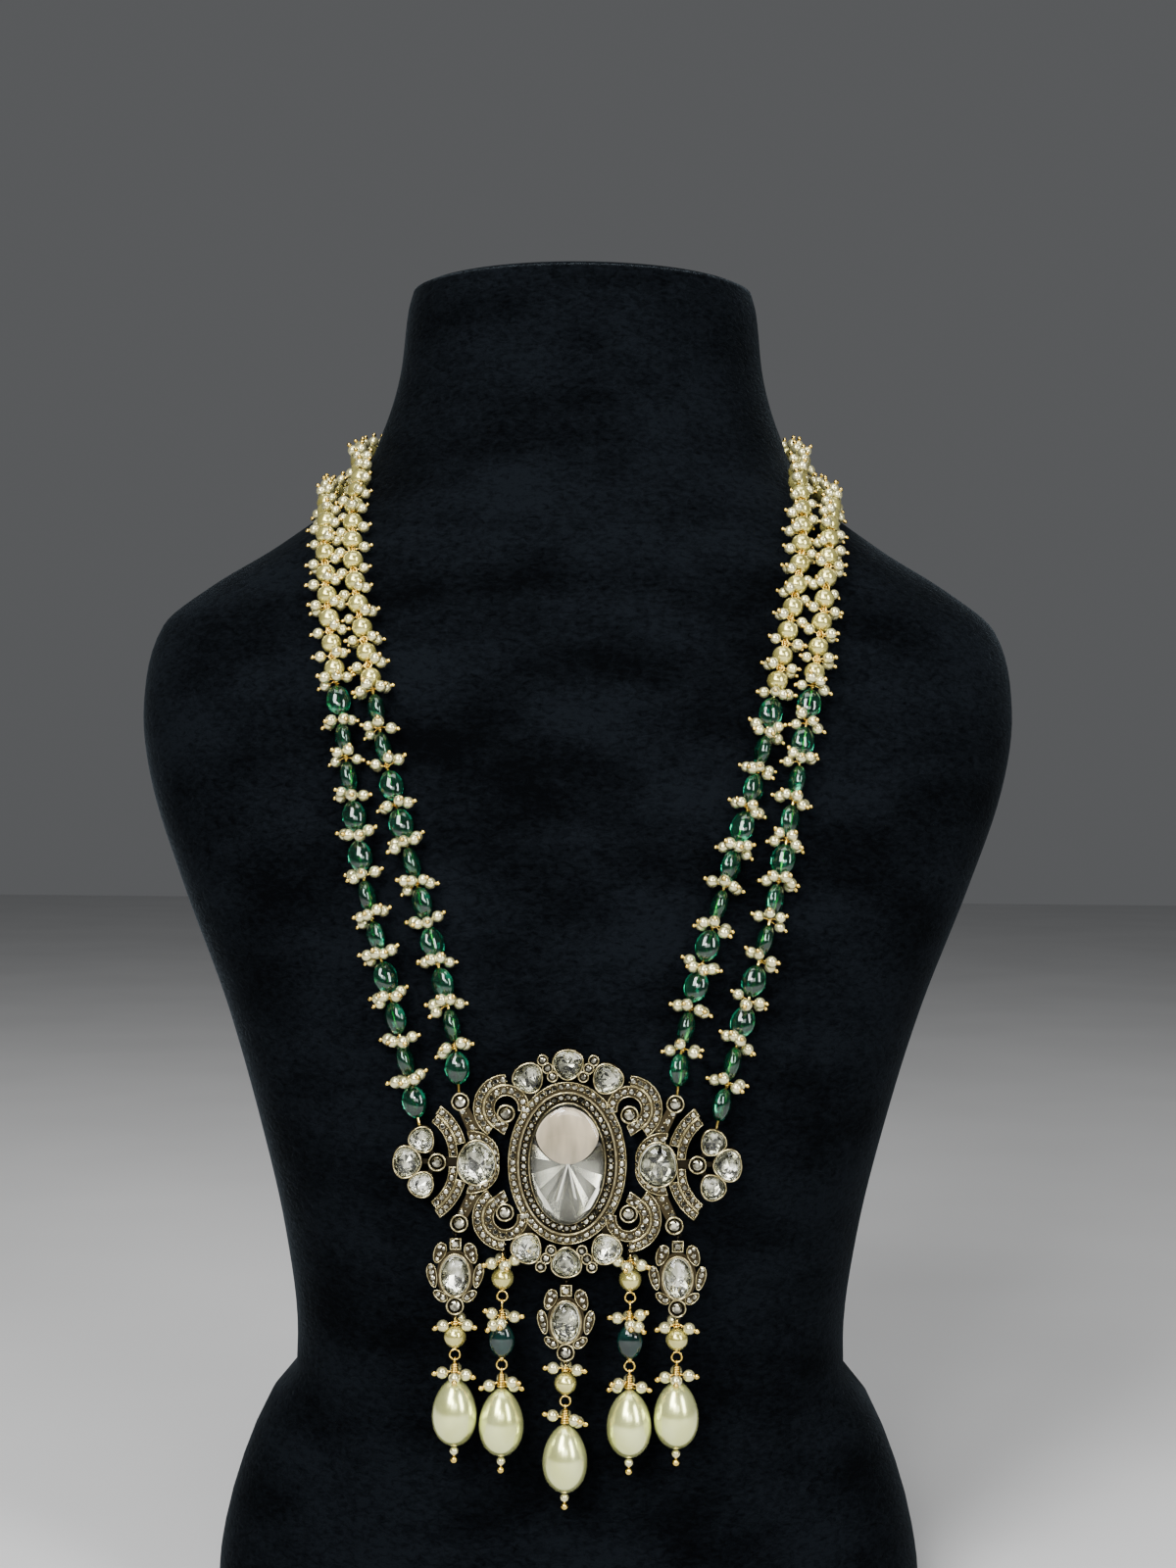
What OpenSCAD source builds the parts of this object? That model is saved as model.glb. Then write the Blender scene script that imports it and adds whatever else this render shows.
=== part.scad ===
// Kundan necklace on a black velvet neck bust.
// Millimetres, +X to the right as seen from the front, +Y to the back, +Z up, the floor at z = 0.

/* [Bust] */
// Height of the bust
bust_h = 394; // [360:1:430]
// Width across the shoulders
shoulder_w = 261; // [240:1:285]
// Depth of the chest, front to back, at the pendant
chest_d = 124; // [110:1:140]
// Width of the neck
neck_w = 109; // [96:1:118]
// Width of the waist
waist_w = 159; // [145:1:173]
// Width of the foot
foot_w = 204; // [186:1:222]

/* [Pendant] */
// Height of the pendant's middle, as a share of the bust's
pendant_share = 0.3538; // [0.34:0.0001:0.37]
// Half width and half height of the centre stone
centre_stone_r = [9.7, 15.5]; // [8:0.1:17]
// Width of the recessed inner row of small stones round the centre stone
inner_row_w = 2.6; // [2:0.1:3.5]
// Width of the raised outer row of small stones round the centre stone
outer_row_w = 2.8; // [2.4:0.1:3.6]
// Width of the six petal stones
petal_w = 7; // [6:0.1:7.4]
// Length of the six petal stones
petal_l = 7; // [6:0.1:7.6]
// Width of the two side stones
side_stone_w = 9.4; // [8:0.1:10]
// Height of the two side stones
side_stone_h = 11; // [9:0.1:12]
// Distance of the side stones from the middle
side_stone_x = 24; // [23.6:0.1:26]
// Distance of the trefoils' small round stones from the middle
trefoil_x = 34.5; // [34:0.1:36]
// Width of the upper and lower trefoil stones
trefoil_w = 5.6; // [4.6:0.1:5.8]
// Length of the upper and lower trefoil stones
trefoil_l = 6; // [5:0.1:6.4]
// Width of the end stone of a trefoil
end_w = 7.4; // [6:0.1:7.8]
// Length of the end stone of a trefoil
end_l = 6.6; // [5.6:0.1:7.2]
// Radius of the small round stones
round_r = 1.8; // [1.4:0.1:1.9]
// Radius of the leaf stones
leaf_r = 0.95; // [0.7:0.05:1.05]
// Outer radius of the scrolls
scroll_r = 8.9; // [8:0.1:9.4]
// Width of the strips that the scrolls are made of
strip_w = 2.9; // [2.6:0.1:3.1]
// Width of the strips of the wings
wing_w = 2.5; // [2.2:0.1:2.8]
// Radius of the wings' outer curve
wing_r = 11.3; // [10.8:0.1:11.8]
// Thickness of the frame's plate
plate_t = 1.6; // [1.4:0.1:2.2]
// Height of the stone rows above the plate
band_h = 0.8; // [0.5:0.1:1.2]
// Half the width of the bright ridge between the two rows round the centre stone
rail_w = 0.35; // [0.25:0.05:0.5]
// Height of the stone settings above the plate
setting_h = 1.7; // [1.3:0.1:2.2]
// Wall of the stone settings
setting_w = 0.6; // [0.5:0.05:0.7]
// Height of the large stones above their settings
crown_h = 1.2; // [0.8:0.1:1.8]
// Height of the small stones above their settings
small_crown_h = 0.5; // [0.3:0.1:0.8]

/* [Medallions] */
// Half width and half height of a medallion's stone
medallion_stone_r = [3.55, 5.2];
// Thickness of a medallion's plate
medallion_t = 1.3; // [1:0.1:1.8]
// Sideways place of the two outer drops
outer_drop_x = 29.5; // [28.6:0.1:30]

/* [Drops] */
// Sideways place of the two inner drops
inner_drop_x = 17; // [16.6:0.1:18]
// Radius of the round pearls
pearl_r = 3; // [2.6:0.1:3.2]
// Width of the pear pearls
pear_w = 12; // [10.5:0.1:12.6]
// Height of the pear pearls
pear_h = 18.3; // [16:0.1:20]
// Radius of the seed pearl under each pear pearl
tip_r = 1.2; // [1:0.1:1.5]
// Radius of the metal ball that ends each drop
ball_r = 1; // [0.8:0.1:1.2]
// Radius of the wire of pins and loops
wire_r = 0.25; // [0.2:0.01:0.3]
// Radius of the small loops, to the middle of the wire
lug_r = 0.75; // [0.72:0.01:0.85]
// Radius of the loops on the bead pins, to the middle of the wire
eye_r = 1.35; // [1.2:0.01:1.5]
// Length of the wrapped wire above the pear pearls
pear_wrap = 3.6; // [2:0.1:4]
// Length of the wrapped wire above the round pearls
pearl_wrap = 0.8; // [0.5:0.1:1.5]
// Length of the wrapped wire above the round pearls of the two inner drops
inner_wrap = 2.3; // [0.5:0.1:3]
// Length of the wrapped wire above the oval drop beads
oval_wrap = 3.6; // [2:0.1:5]
// Play between one loop and the next
link_gap = 0.1; // [0.08:0.01:0.15]

/* [Strands] */
// Length of the oval green beads
green_l = 9.3; // [8:0.1:9.8]
// Width of the oval green beads
green_w = 6.6; // [5.6:0.1:7.2]
// Thickness of the oval green beads
green_t = 4.6; // [4:0.1:5.2]
// Distance from one green bead to the next
green_pitch = 11.4; // [11:0.1:12.5]
// Distance from one pearl to the next
pearl_pitch = 7.7; // [7.2:0.1:8.5]
// Green beads on each side of the inner strand
inner_green_n = 10; // [8:1:11]
// Green beads on each side of the outer strand
outer_green_n = 11; // [9:1:12]
// Radius of the thread
thread_r = 0.3; // [0.25:0.01:0.35]
// Play of a bead on its thread or wire
bore_gap = 0.15; // [0.1:0.01:0.25]
// Play between the strands and the velvet
skin_gap = 0.7; // [0.5:0.1:1.5]
// Width of the clasp
clasp_w = 11; // [9:0.1:16]
// Thickness of the clasp
clasp_t = 4; // [2.6:0.1:5]

/* [Fits] */
// Play between a stone and its setting
seat_gap = 0.12; // [0.1:0.01:0.2]
// Play between the pendant's back and the velvet
back_gap = 0.3; // [0.2:0.05:0.6]

/* [Hidden] */
SIDES = [["left", -1], ["right", 1]];
$fn = 32;

VELVET = [0.03, 0.03, 0.035];
GOLD = [0.55, 0.46, 0.28];
WIRE = [0.83, 0.62, 0.25];
STONE = [0.86, 0.87, 0.84];
PEARL = [0.93, 0.9, 0.78];
GREEN = [0.02, 0.3, 0.16];

// Middle of the depth, from the front of the pear pearls to the back of the pearls at the nape,
// where the body reaches half of chest_d forward and 0.737 of it back.
MID_Y = (0.737 - 0.5) / 2 * chest_d
    + (skin_gap + 2 * pearl_r - back_gap - plate_t / 2 - pear_w / 2) / 2;

// Sections of the body: height as a share of bust_h, half width, front and back as shares of
// chest_d, squareness of the outline.
TORSO = [for (s = [
    [0.000, waist_w / 2 * 1.05, -0.455, 0.468, 2.6],
    [0.063, waist_w / 2 * 1.045, -0.45, 0.468, 2.6],
    [0.203, waist_w / 2, -0.44, 0.468, 2.5],
    [0.282, waist_w / 2 * 1.046, -0.476, 0.476, 2.4],
    [0.363, waist_w / 2 * 1.141, -0.5, 0.492, 2.4],
    [0.447, shoulder_w / 2 * 0.778, -0.472, 0.516, 2.3],
    [0.533, shoulder_w / 2 * 0.886, -0.419, 0.548, 2.3],
    [0.607, shoulder_w / 2 * 0.97, -0.355, 0.589, 2.3],
    [0.668, shoulder_w / 2, -0.294, 0.621, 2.3],
    [0.728, shoulder_w / 2 * 0.968, -0.226, 0.661, 2.25],
    [0.759, shoulder_w / 2 * 0.862, -0.185, 0.677, 2.2],
    [0.792, shoulder_w / 2 * 0.709, -0.145, 0.702, 2.15],
    [0.838, shoulder_w / 2 * 0.541, -0.081, 0.726, 2.1],
    [0.885, neck_w / 2 * 1.138, -0.036, 0.742, 2],
    [0.929, neck_w / 2 * 1.045, -0.02, 0.75, 2],
    [0.982, neck_w / 2, -0.016, 0.758, 2],
    [1.000, neck_w / 2 * 0.965, -0.006, 0.742, 2],
]) [s[0] * bust_h, s[1], s[2] * chest_d - MID_Y, s[3] * chest_d - MID_Y, s[4]]];

// Sections of the foot, which flares out behind the front panel, in the same columns.
FOOT = [for (s = [
    [0.000, 1, -0.42, 0.54, 2.4],
    [0.046, 0.994, -0.42, 0.54, 2.4],
    [0.102, 0.945, -0.41, 0.53, 2.4],
    [0.157, 0.856, -0.39, 0.5, 2.4],
    [0.183, 0.769, -0.37, 0.47, 2.4],
    [0.203, 0.653, -0.33, 0.4, 2.4],
]) [s[0] * bust_h, s[1] * foot_w / 2, s[2] * chest_d - MID_Y, s[3] * chest_d - MID_Y, s[4]]];

BUST_SIDES = 60;
BUST_STEPS = 3;

// A smooth curve through the rows of a section table, at height z.
function row_of(t, z) = max([for (i = [0 : len(t) - 2]) if (i == 0 || t[i][0] <= z) i]);
function slope(t, i) =
    let (lo = max(i - 1, 0), hi = min(i + 1, len(t) - 1)) (t[hi] - t[lo]) / (t[hi][0] - t[lo][0]);
function section_at(t, z) =
    let (i = row_of(t, z), d = t[i + 1][0] - t[i][0], u = (z - t[i][0]) / d)
    t[i] * (2 * u ^ 3 - 3 * u ^ 2 + 1) + slope(t, i) * d * (u ^ 3 - 2 * u ^ 2 + u)
    + t[i + 1] * (3 * u ^ 2 - 2 * u ^ 3) + slope(t, i + 1) * d * (u ^ 3 - u ^ 2);

function spine(s) = (s[2] + s[3]) / 2;

// Reach of a section from the spine at y0, at angle a from straight ahead.
function reach(s, a, y0) =
    let (depth = cos(a) >= 0 ? y0 - s[2] : s[3] - y0)
    (abs(sin(a) / s[1]) ^ s[4] + abs(cos(a) / depth) ^ s[4]) ^ (-1 / s[4]);
function torso_point(a, z) =
    let (s = section_at(TORSO, z), r = reach(s, a, spine(s))) [r * sin(a), spine(s) - r * cos(a), z];
function torso_normal(a, z) =
    let (n = cross(torso_point(a + 0.5, z) - torso_point(a - 0.5, z),
                   torso_point(a, z + 0.5) - torso_point(a, z - 0.5))) n / norm(n);

// Angle at which the front of the body is x away from the middle, at height z.
function torso_angle(x, z) =
    let (s = section_at(TORSO, z), k = min(x / s[1], 1))
    atan2(k * s[1], (s[3] - s[2]) / 2 * (1 - k ^ s[4]) ^ (1 / s[4]));

// Outline of the bust at height z: the wider of body and foot in each direction.
function bust_ring(z) =
    let (s = section_at(TORSO, z), y0 = spine(s), low = z <= FOOT[len(FOOT) - 1][0],
         f = low ? section_at(FOOT, z) : s)
    [for (i = [0 : BUST_SIDES - 1])
        let (a = 360 * i / BUST_SIDES, r = max(reach(s, a, y0), reach(f, a, y0)))
        [r * sin(a), y0 - r * cos(a), z]];

// Stack of rings of n points each, closed at both ends.
module loft(rings) {
    n = len(rings[0]);
    m = len(rings);
    polyhedron(
        points = [for (r = rings) each r],
        faces = concat(
            [[for (i = [0 : n - 1]) i]],
            [for (k = [0 : m - 2]) for (i = [0 : n - 1])
                let (j = (i + 1) % n) each [
                    [k * n + i, (k + 1) * n + i, k * n + j],
                    [k * n + j, (k + 1) * n + i, (k + 1) * n + j]]],
            [[for (i = [n - 1 : -1 : 0]) (m - 1) * n + i]]
        )
    );
}

module bust() {
    levels = [for (i = [0 : len(TORSO) - 2]) for (k = [0 : BUST_STEPS - 1])
        TORSO[i][0] + (TORSO[i + 1][0] - TORSO[i][0]) * k / BUST_STEPS];
    color(VELVET) loft([for (z = concat(levels, [bust_h])) bust_ring(z)]);
}

// Sizes of the pendant, measured in its own plane: x to the side, y up, from its middle.
pendant_z = pendant_share * bust_h;
small_wall = setting_w * 0.75;
bezel = seat_gap + setting_w;
small_bezel = seat_gap + small_wall;
RING_R = centre_stone_r + [1, 1] * (bezel + inner_row_w + outer_row_w);
RIDGE_R = centre_stone_r + [1, 1] * (bezel + inner_row_w);
PETAL_R = RING_R + [1, 1] * (petal_l / 2 + bezel + 0.3);
PETAL_TURN = 31;
LEAF_TURN = 15.5;
LEAF_STEP = 2 * (leaf_r + small_bezel) - 0.5;
SCROLL = [RING_R[0] * 1.03, RING_R[1] * 0.675];
SCROLL_STONE = SCROLL + [0.1, -1.5];
STEM = [side_stone_x + 4.5, SCROLL[1] + 1.5];
TREFOIL_R = trefoil_l / 2 + 4.1;
TREFOIL_TURN = 55;
END_R = end_l / 2 + 4.6;
WING = [side_stone_x + 18.8, 1.4];

// Back of the pendant, clear of the chest where it is furthest forward behind the frame.
pendant_y = min([for (z = [-1 : 0.1 : 1]) torso_point(0, pendant_z + z * 2 * RING_R[1])[1]]) - back_gap;

// What a child draws flat is stood up in the pendant's plane and given its thickness.
module stand_up(at = [0, 0], lift = 0) {
    translate([at[0], pendant_y - lift, pendant_z + at[1]]) rotate([90, 0, 0]) children();
}

// Egg-shaped outline, narrower toward its top, which is then turned.
EGG = 0.22;
function turned(p, a) = [p[0] * cos(a) - p[1] * sin(a), p[0] * sin(a) + p[1] * cos(a)];
function egg(w, l, taper, turn, n) =
    [for (i = [0 : n - 1]) let (a = 360 * i / n)
        turned([w / 2 * cos(a) * (1 - taper * sin(a)), l / 2 * sin(a)], turn)];
function on_oval(r, a) = [r[0] * sin(a), r[1] * cos(a)];

// Every stone of the pendant: place, width, length, taper, turn of the narrow end, sides.
function petal_row(a) = [on_oval(PETAL_R, a), petal_w, petal_l, EGG, 180 - a, 16];
function side_row(s) = [[s * side_stone_x, 0], side_stone_w, side_stone_h, EGG * 0.4, 0, 16];
function trefoil_row(s, k) =
    let (a = (k - 2) * TREFOIL_TURN, l = k == 2 ? END_R : TREFOIL_R)
    [[s * (trefoil_x + l * cos(a)), -l * sin(a)],
     k == 2 ? end_w : trefoil_w, k == 2 ? end_l : trefoil_l, EGG, s * (90 - a), 16];
CENTRE_ROW = [[0, 0], 2 * centre_stone_r[0], 2 * centre_stone_r[1], 0, 0, 40];

BIG_ROWS = concat(
    [for (a = [0, PETAL_TURN, 180 - PETAL_TURN, 180, 180 + PETAL_TURN, 360 - PETAL_TURN]) petal_row(a)],
    [for (s = [-1, 1]) side_row(s)],
    [for (s = [-1, 1]) for (k = [1 : 3]) trefoil_row(s, k)]
);
ROUND_PLACES = [for (s = [-1, 1]) each concat(
    [[s * trefoil_x, 0]],
    [for (v = [-1, 1]) each [[s * SCROLL_STONE[0], v * SCROLL_STONE[1]], [s * STEM[0], v * STEM[1]]]]
)];
LEAF_PLACES = [for (a = [0, 180]) for (s = [-1, 1]) for (k = [-1 : 1])
    let (c = on_oval(PETAL_R, a + s * LEAF_TURN)) c + on_oval([1, 1], a + s * (LEAF_TURN + 16)) * k * LEAF_STEP];

// Outline of a stone's row, grown by g all round.
module stone_2d(row, g = 0) {
    translate(row[0]) polygon(egg(row[1] + 2 * g, row[2] + 2 * g, row[3], row[4], row[5]));
}

// Cut stone: flat back, girdle, a crown of alternate facets and a table.
module gem(row, thick, crown, table = 0.6) {
    n = row[5];
    rim = egg(row[1], row[2], row[3], row[4], n);
    top = [for (i = [0 : n - 1]) (rim[i] + rim[(i + 1) % n]) / 2 * table];
    loft([[for (p = rim) [p[0], p[1], 0]],
          [for (p = rim) [p[0], p[1], thick - crown]],
          [for (p = top) [p[0], p[1], thick]]]);
}

module set_gem(row, seat, thick, crown) {
    color(STONE) stand_up(row[0], seat + seat_gap) gem(row, thick, crown);
}
module big_gem(row) { set_gem(row, plate_t, setting_h + crown_h, crown_h); }
module small_gems(places, r, seat) {
    for (p = places)
        set_gem([p, 2 * r, 2 * r, 0, 0, 10], seat, setting_h * 0.6 + small_crown_h, small_crown_h);
}

// Flat strip along an arc about c, from angle a0 to a1, between two radii.
function arc_points(c, r, a0, a1, n) = [for (i = [0 : n]) c + r * turned([1, 0], a0 + (a1 - a0) * i / n)];
module arc_strip(c, r0, r1, a0, a1, n = 9) {
    polygon(concat(arc_points(c, r1, a0, a1, n), arc_points(c, r0, a1, a0, n)));
}
module oval_2d(r, n = 40) { polygon([for (i = [0 : n - 1]) on_oval(r, 360 * i / n)]); }

// One quarter of the pendant is drawn and mirrored to the other three.
module four_ways() {
    for (s = [0, 1]) for (v = [0, 1]) mirror([s, 0]) mirror([0, v]) children();
}

// Strips that carry rows of small stones, each shrunk by g all round.
module scroll_strips(g = 0) {
    mid_r = scroll_r - strip_w;
    arc_strip(SCROLL, mid_r + g, scroll_r - g, -57 + 6 * g, 88 - 6 * g);
    arc_strip(SCROLL, mid_r - strip_w + g, mid_r + rail_w / 2 - g, -60 + 9 * g, 195 - 9 * g, 15);
    translate(SCROLL) offset(delta = -g) polygon(TAIL * scroll_r);
}
// Squared tail of a scroll's inner turn, as shares of scroll_r.
TAIL = [[0.2, -0.28], [-0.06, -0.52], [0.06, -0.8], [0.42, -0.55]];

module collar_strip(g = 0) {
    inner = bezel + max(side_stone_w, side_stone_h) / 2 - 0.9;
    a0 = 72 + 6 * g;
    a1 = 174 - 6 * g;
    side = [side_stone_x, 0];
    polygon(concat(
        [for (k = [0 : 10]) let (a = a0 + (a1 - a0) * k / 10)
            side + turned([inner + 3.5 - k * 0.29 - g, 0], a)],
        [for (k = [10 : -1 : 0]) side + turned([inner - 1.2 + g, 0], a0 + (a1 - a0) * k / 10)]
    ));
}
module stem_strip(g = 0) {
    low = side_stone_h / 2 + bezel + 1.6;
    polygon([STEM + [-2 + g, -1], STEM + [1 - g, -1.5],
             [side_stone_x + 2.4 - g, low + g], [side_stone_x - 1 + g, low + 0.8 + g]]);
}
module wing_strips(g = 0) {
    mid_r = wing_r + wing_w;
    arc_strip(WING, wing_r + g, mid_r - g, 181 - 5 * g, 126 + 5 * g);
    arc_strip(WING, mid_r - rail_w / 2 + g, mid_r + wing_w - g, 167 - 5 * g, 124 + 5 * g);
}
module strips(g = 0) {
    four_ways() {
        scroll_strips(g);
        collar_strip(g);
        stem_strip(g);
        wing_strips(g);
    }
}

// Outlines of the settings, and of the pockets in them for the stones.
module at_stones(big_g, small_g) {
    for (row = BIG_ROWS) stone_2d(row, big_g);
    for (p = ROUND_PLACES) translate(p) circle(round_r + small_g, $fn = 10);
    for (p = LEAF_PLACES) translate(p) circle(leaf_r + small_g, $fn = 10);
}
module settings_2d() { at_stones(bezel, small_bezel); }
module pockets_2d() {
    at_stones(seat_gap, seat_gap);
    oval_2d(centre_stone_r + [1, 1] * seat_gap);
}
module ring_2d(outer, wall) {
    difference() {
        oval_2d(outer);
        oval_2d(outer - [1, 1] * wall);
    }
}

// Thin bars behind the stones that tie the trefoils and petals to the rest.
module ties_2d() {
    tie_w = 1.3;
    for (s = [-1, 1]) {
        translate([s * (side_stone_x + trefoil_x) / 2, 0]) square([trefoil_x - side_stone_x, 2 * tie_w], center = true);
        for (k = [1 : 3]) {
            row = trefoil_row(s, k);
            far = row[0] - [s * trefoil_x, 0];
            translate([s * trefoil_x, 0]) rotate(atan2(far[1], far[0]))
                translate([0, -tie_w / 2]) square([norm(far) - row[2] / 4, tie_w]);
        }
    }
    for (a = [0, PETAL_TURN, 180 - PETAL_TURN, 180, 180 + PETAL_TURN, 360 - PETAL_TURN]) {
        rotate(-a) translate([-tie_w, RING_R[0]]) square([2 * tie_w, norm(on_oval(PETAL_R, a)) - RING_R[0]]);
    }
}

// Levels above the pendant's back, each standing in from the one below by a small ledge:
// the open plate, the raised rows of small stones, and the walls that hold the large ones.
LEDGE = 0.06;
module level(from, to, ledge) { stand_up(lift = from) linear_extrude(to - from) offset(delta = -ledge) children(); }

module pendant_frame() {
    row_top = plate_t + band_h;
    color(GOLD) difference() {
        union() {
            level(0, plate_t, 0) {
                oval_2d(RING_R);
                strips();
                settings_2d();
                ties_2d();
            }
            level(plate_t, row_top, LEDGE) difference() {
                union() {
                    strips();
                    settings_2d();
                    ring_2d(RING_R, outer_row_w);
                    ring_2d(centre_stone_r + [1, 1] * bezel, setting_w);
                }
                pockets_2d();
            }
            level(row_top, plate_t + setting_h, 2 * LEDGE) difference() {
                union() {
                    settings_2d();
                    ring_2d(RIDGE_R + [1, 1] * rail_w, 2 * rail_w);
                    ring_2d(centre_stone_r + [1, 1] * bezel, setting_w);
                }
                pockets_2d();
            }
            for (k = [1 : 5]) loop_at(DROP_X[k - 1], LUG_DEPTH[k - 1], lug_r);
        }
        for (s = [0, 1]) mirror([s, 0, 0]) {
            rod(INNER_THREAD[0], INNER_THREAD[1], bore_r);
            rod(OUTER_THREAD[0], OUTER_THREAD[1], bore_r);
        }
    }
}

module centre_stone() { set_gem(CENTRE_ROW, plate_t, setting_h + crown_h * 1.4, crown_h * 1.4); }
module side_stone(s) { big_gem(side_row(s)); }
module trefoil_stone(s, k) { big_gem(trefoil_row(s, k)); }
module round_stones() { small_gems(ROUND_PLACES, round_r, plate_t); }
module leaf_stones() { small_gems(LEAF_PLACES, leaf_r, plate_t); }

// A medallion, measured from its own middle.
MED_STONE = [[0, 0], 2 * medallion_stone_r[0], 2 * medallion_stone_r[1], 0, 0, 24];
HALO_R = medallion_stone_r + [1, 1] * (bezel + 1.4);
square_w = 2;
MED_SQUARE = [0, HALO_R[1] + 0.9];
MED_ROUND = [0, -HALO_R[1] - 0.9];
med_top = MED_SQUARE[1] + square_w / 2 + small_bezel;
med_bottom = -MED_ROUND[1] + round_r + small_bezel;
med_lift = (plate_t - medallion_t) / 2;

// Leaves of the halo: angle round it, width, length, turn, distance as a share of the halo's.
HALO = [[43, 3.3, 5.8, 200, 1.085], [91.5, 2.7, 6.6, 168, 1.075], [137.5, 2.6, 4.4, -56, 1.02]];

module medallion_2d() {
    offset(delta = 0) {
        oval_2d(medallion_stone_r + [1, 1] * (bezel + 0.7), 28);
        for (m = [0, 1]) mirror([m, 0]) for (h = HALO)
            translate(on_oval(HALO_R, h[0]) * h[4]) polygon(egg(h[1], h[2], EGG, h[3], 14));
        translate(MED_SQUARE) square(square_w + 2 * small_bezel, center = true);
        translate(MED_ROUND) circle(round_r + small_bezel, $fn = 10);
        square([2 * small_bezel, 2 * HALO_R[1] + 1], center = true);
    }
}
module medallion(k) {
    at = [DROP_X[k - 1], -MED_DEPTH[k - 1]];
    top = med_lift + medallion_t;
    color(GOLD) {
        stand_up(at, med_lift) linear_extrude(medallion_t) medallion_2d();
        stand_up(at, top) linear_extrude(band_h) offset(delta = 0) difference() {
            medallion_2d();
            stone_2d(MED_STONE, seat_gap);
            translate(MED_SQUARE) square(square_w + 2 * seat_gap, center = true);
            translate(MED_ROUND) circle(round_r + seat_gap, $fn = 12);
        }
        stand_up(at, top + band_h) linear_extrude(setting_h - band_h) difference() {
            stone_2d(MED_STONE, bezel);
            stone_2d(MED_STONE, seat_gap);
        }
        loop_at(at[0], MED_DEPTH[k - 1] - med_top - lug_r + wire_r, lug_r, 90);
        loop_at(at[0], MED_DEPTH[k - 1] + med_bottom + lug_r - wire_r, lug_r);
    }
}
module medallion_stone(k) {
    at = [DROP_X[k - 1], -MED_DEPTH[k - 1]];
    set_gem([at, MED_STONE[1], MED_STONE[2], 0, 0, 20], med_lift + medallion_t, setting_h + crown_h * 0.6, crown_h);
}
MEDALLIONS = [1, 3, 5];
module medallion_round_stones() {
    small_gems([for (k = MEDALLIONS) MED_ROUND + [DROP_X[k - 1], -MED_DEPTH[k - 1]]],
               round_r, med_lift + medallion_t);
}
module medallion_square_stones() {
    for (k = MEDALLIONS)
        set_gem([MED_SQUARE + [DROP_X[k - 1], -MED_DEPTH[k - 1]], square_w * sqrt(2), square_w * sqrt(2), 0, 45, 4],
                med_lift + medallion_t, band_h + small_crown_h, small_crown_h);
}

// The five drops. Depths are measured down from the pendant's middle.
DROP_X = [-outer_drop_x, -inner_drop_x, 0, inner_drop_x, outer_drop_x];
function is_inner(k) = k == 2 || k == 4;
function lug_below(edge) = edge + lug_r - wire_r;
function next_loop(depth, ra, rb) = depth + ra - 2 * wire_r - link_gap + rb;
STEM_LUG = lug_below(STEM[1] + round_r + small_bezel - 0.15);
SCROLL_LUG = lug_below(SCROLL[1] + scroll_r - 0.1);
PETAL_LUG = lug_below(PETAL_R[1] + petal_l / 2 + bezel);
LUG_DEPTH = [STEM_LUG, SCROLL_LUG, PETAL_LUG, SCROLL_LUG, STEM_LUG];
MED_DEPTH = [for (d = LUG_DEPTH) next_loop(d, lug_r, lug_r) + lug_r - wire_r + med_top];
// Loop that the pearl's pin hangs from, then that pin's own loop, and so on down the drop.
CARRIER = [for (k = [1 : 5]) is_inner(k) ? LUG_DEPTH[k - 1] : lug_below(MED_DEPTH[k - 1] + med_bottom)];
PEARL_LOOP = [for (d = CARRIER) next_loop(d, lug_r, lug_r)];
PEARL_WRAP = [for (k = [1 : 5]) is_inner(k) ? inner_wrap : pearl_wrap];
PEARL_DEPTH = [for (k = [0 : 4]) PEARL_LOOP[k] + lug_r + PEARL_WRAP[k] + bore_gap + pearl_r];
PEARL_EYE = [for (d = PEARL_DEPTH) d + pearl_r + bore_gap + wire_r + eye_r];
OVAL_LOOP = [for (d = PEARL_EYE) next_loop(d, eye_r, eye_r)];
OVAL_DEPTH = [for (d = OVAL_LOOP) d + eye_r + oval_wrap + bore_gap + green_l / 2];
OVAL_EYE = [for (d = OVAL_DEPTH) d + green_l / 2 + bore_gap + wire_r + eye_r];
PEAR_LOOP = [for (k = [1 : 5]) next_loop(is_inner(k) ? OVAL_EYE[k - 1] : PEARL_EYE[k - 1], eye_r, lug_r)];
PEAR_TOP = [for (d = PEAR_LOOP) d + lug_r + pear_wrap + bore_gap];
TIP_DEPTH = [for (d = PEAR_TOP) d + pear_h + bore_gap + tip_r];

// A wire loop facing forward, or edge on when turned by 90.
module loop_at(x, depth, r, turn = 0) {
    stand_up([x, -depth], plate_t / 2) rotate([0, turn, 0]) rotate(25) rotate_extrude($fn = 24)
        translate([r, 0]) circle(wire_r, $fn = 16);
}
module upright(x, depth) { stand_up([x, -depth], plate_t / 2) rotate([90, 0, 0]) children(); }
module wire_down(x, d0, d1, r = wire_r) { upright(x, d0) cylinder(r = r, h = d1 - d0); }
module bored(x, depth, half) {
    difference() {
        upright(x, depth) children();
        wire_down(x, depth - half - 1, depth + half + 1, wire_r + bore_gap);
    }
}

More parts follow.
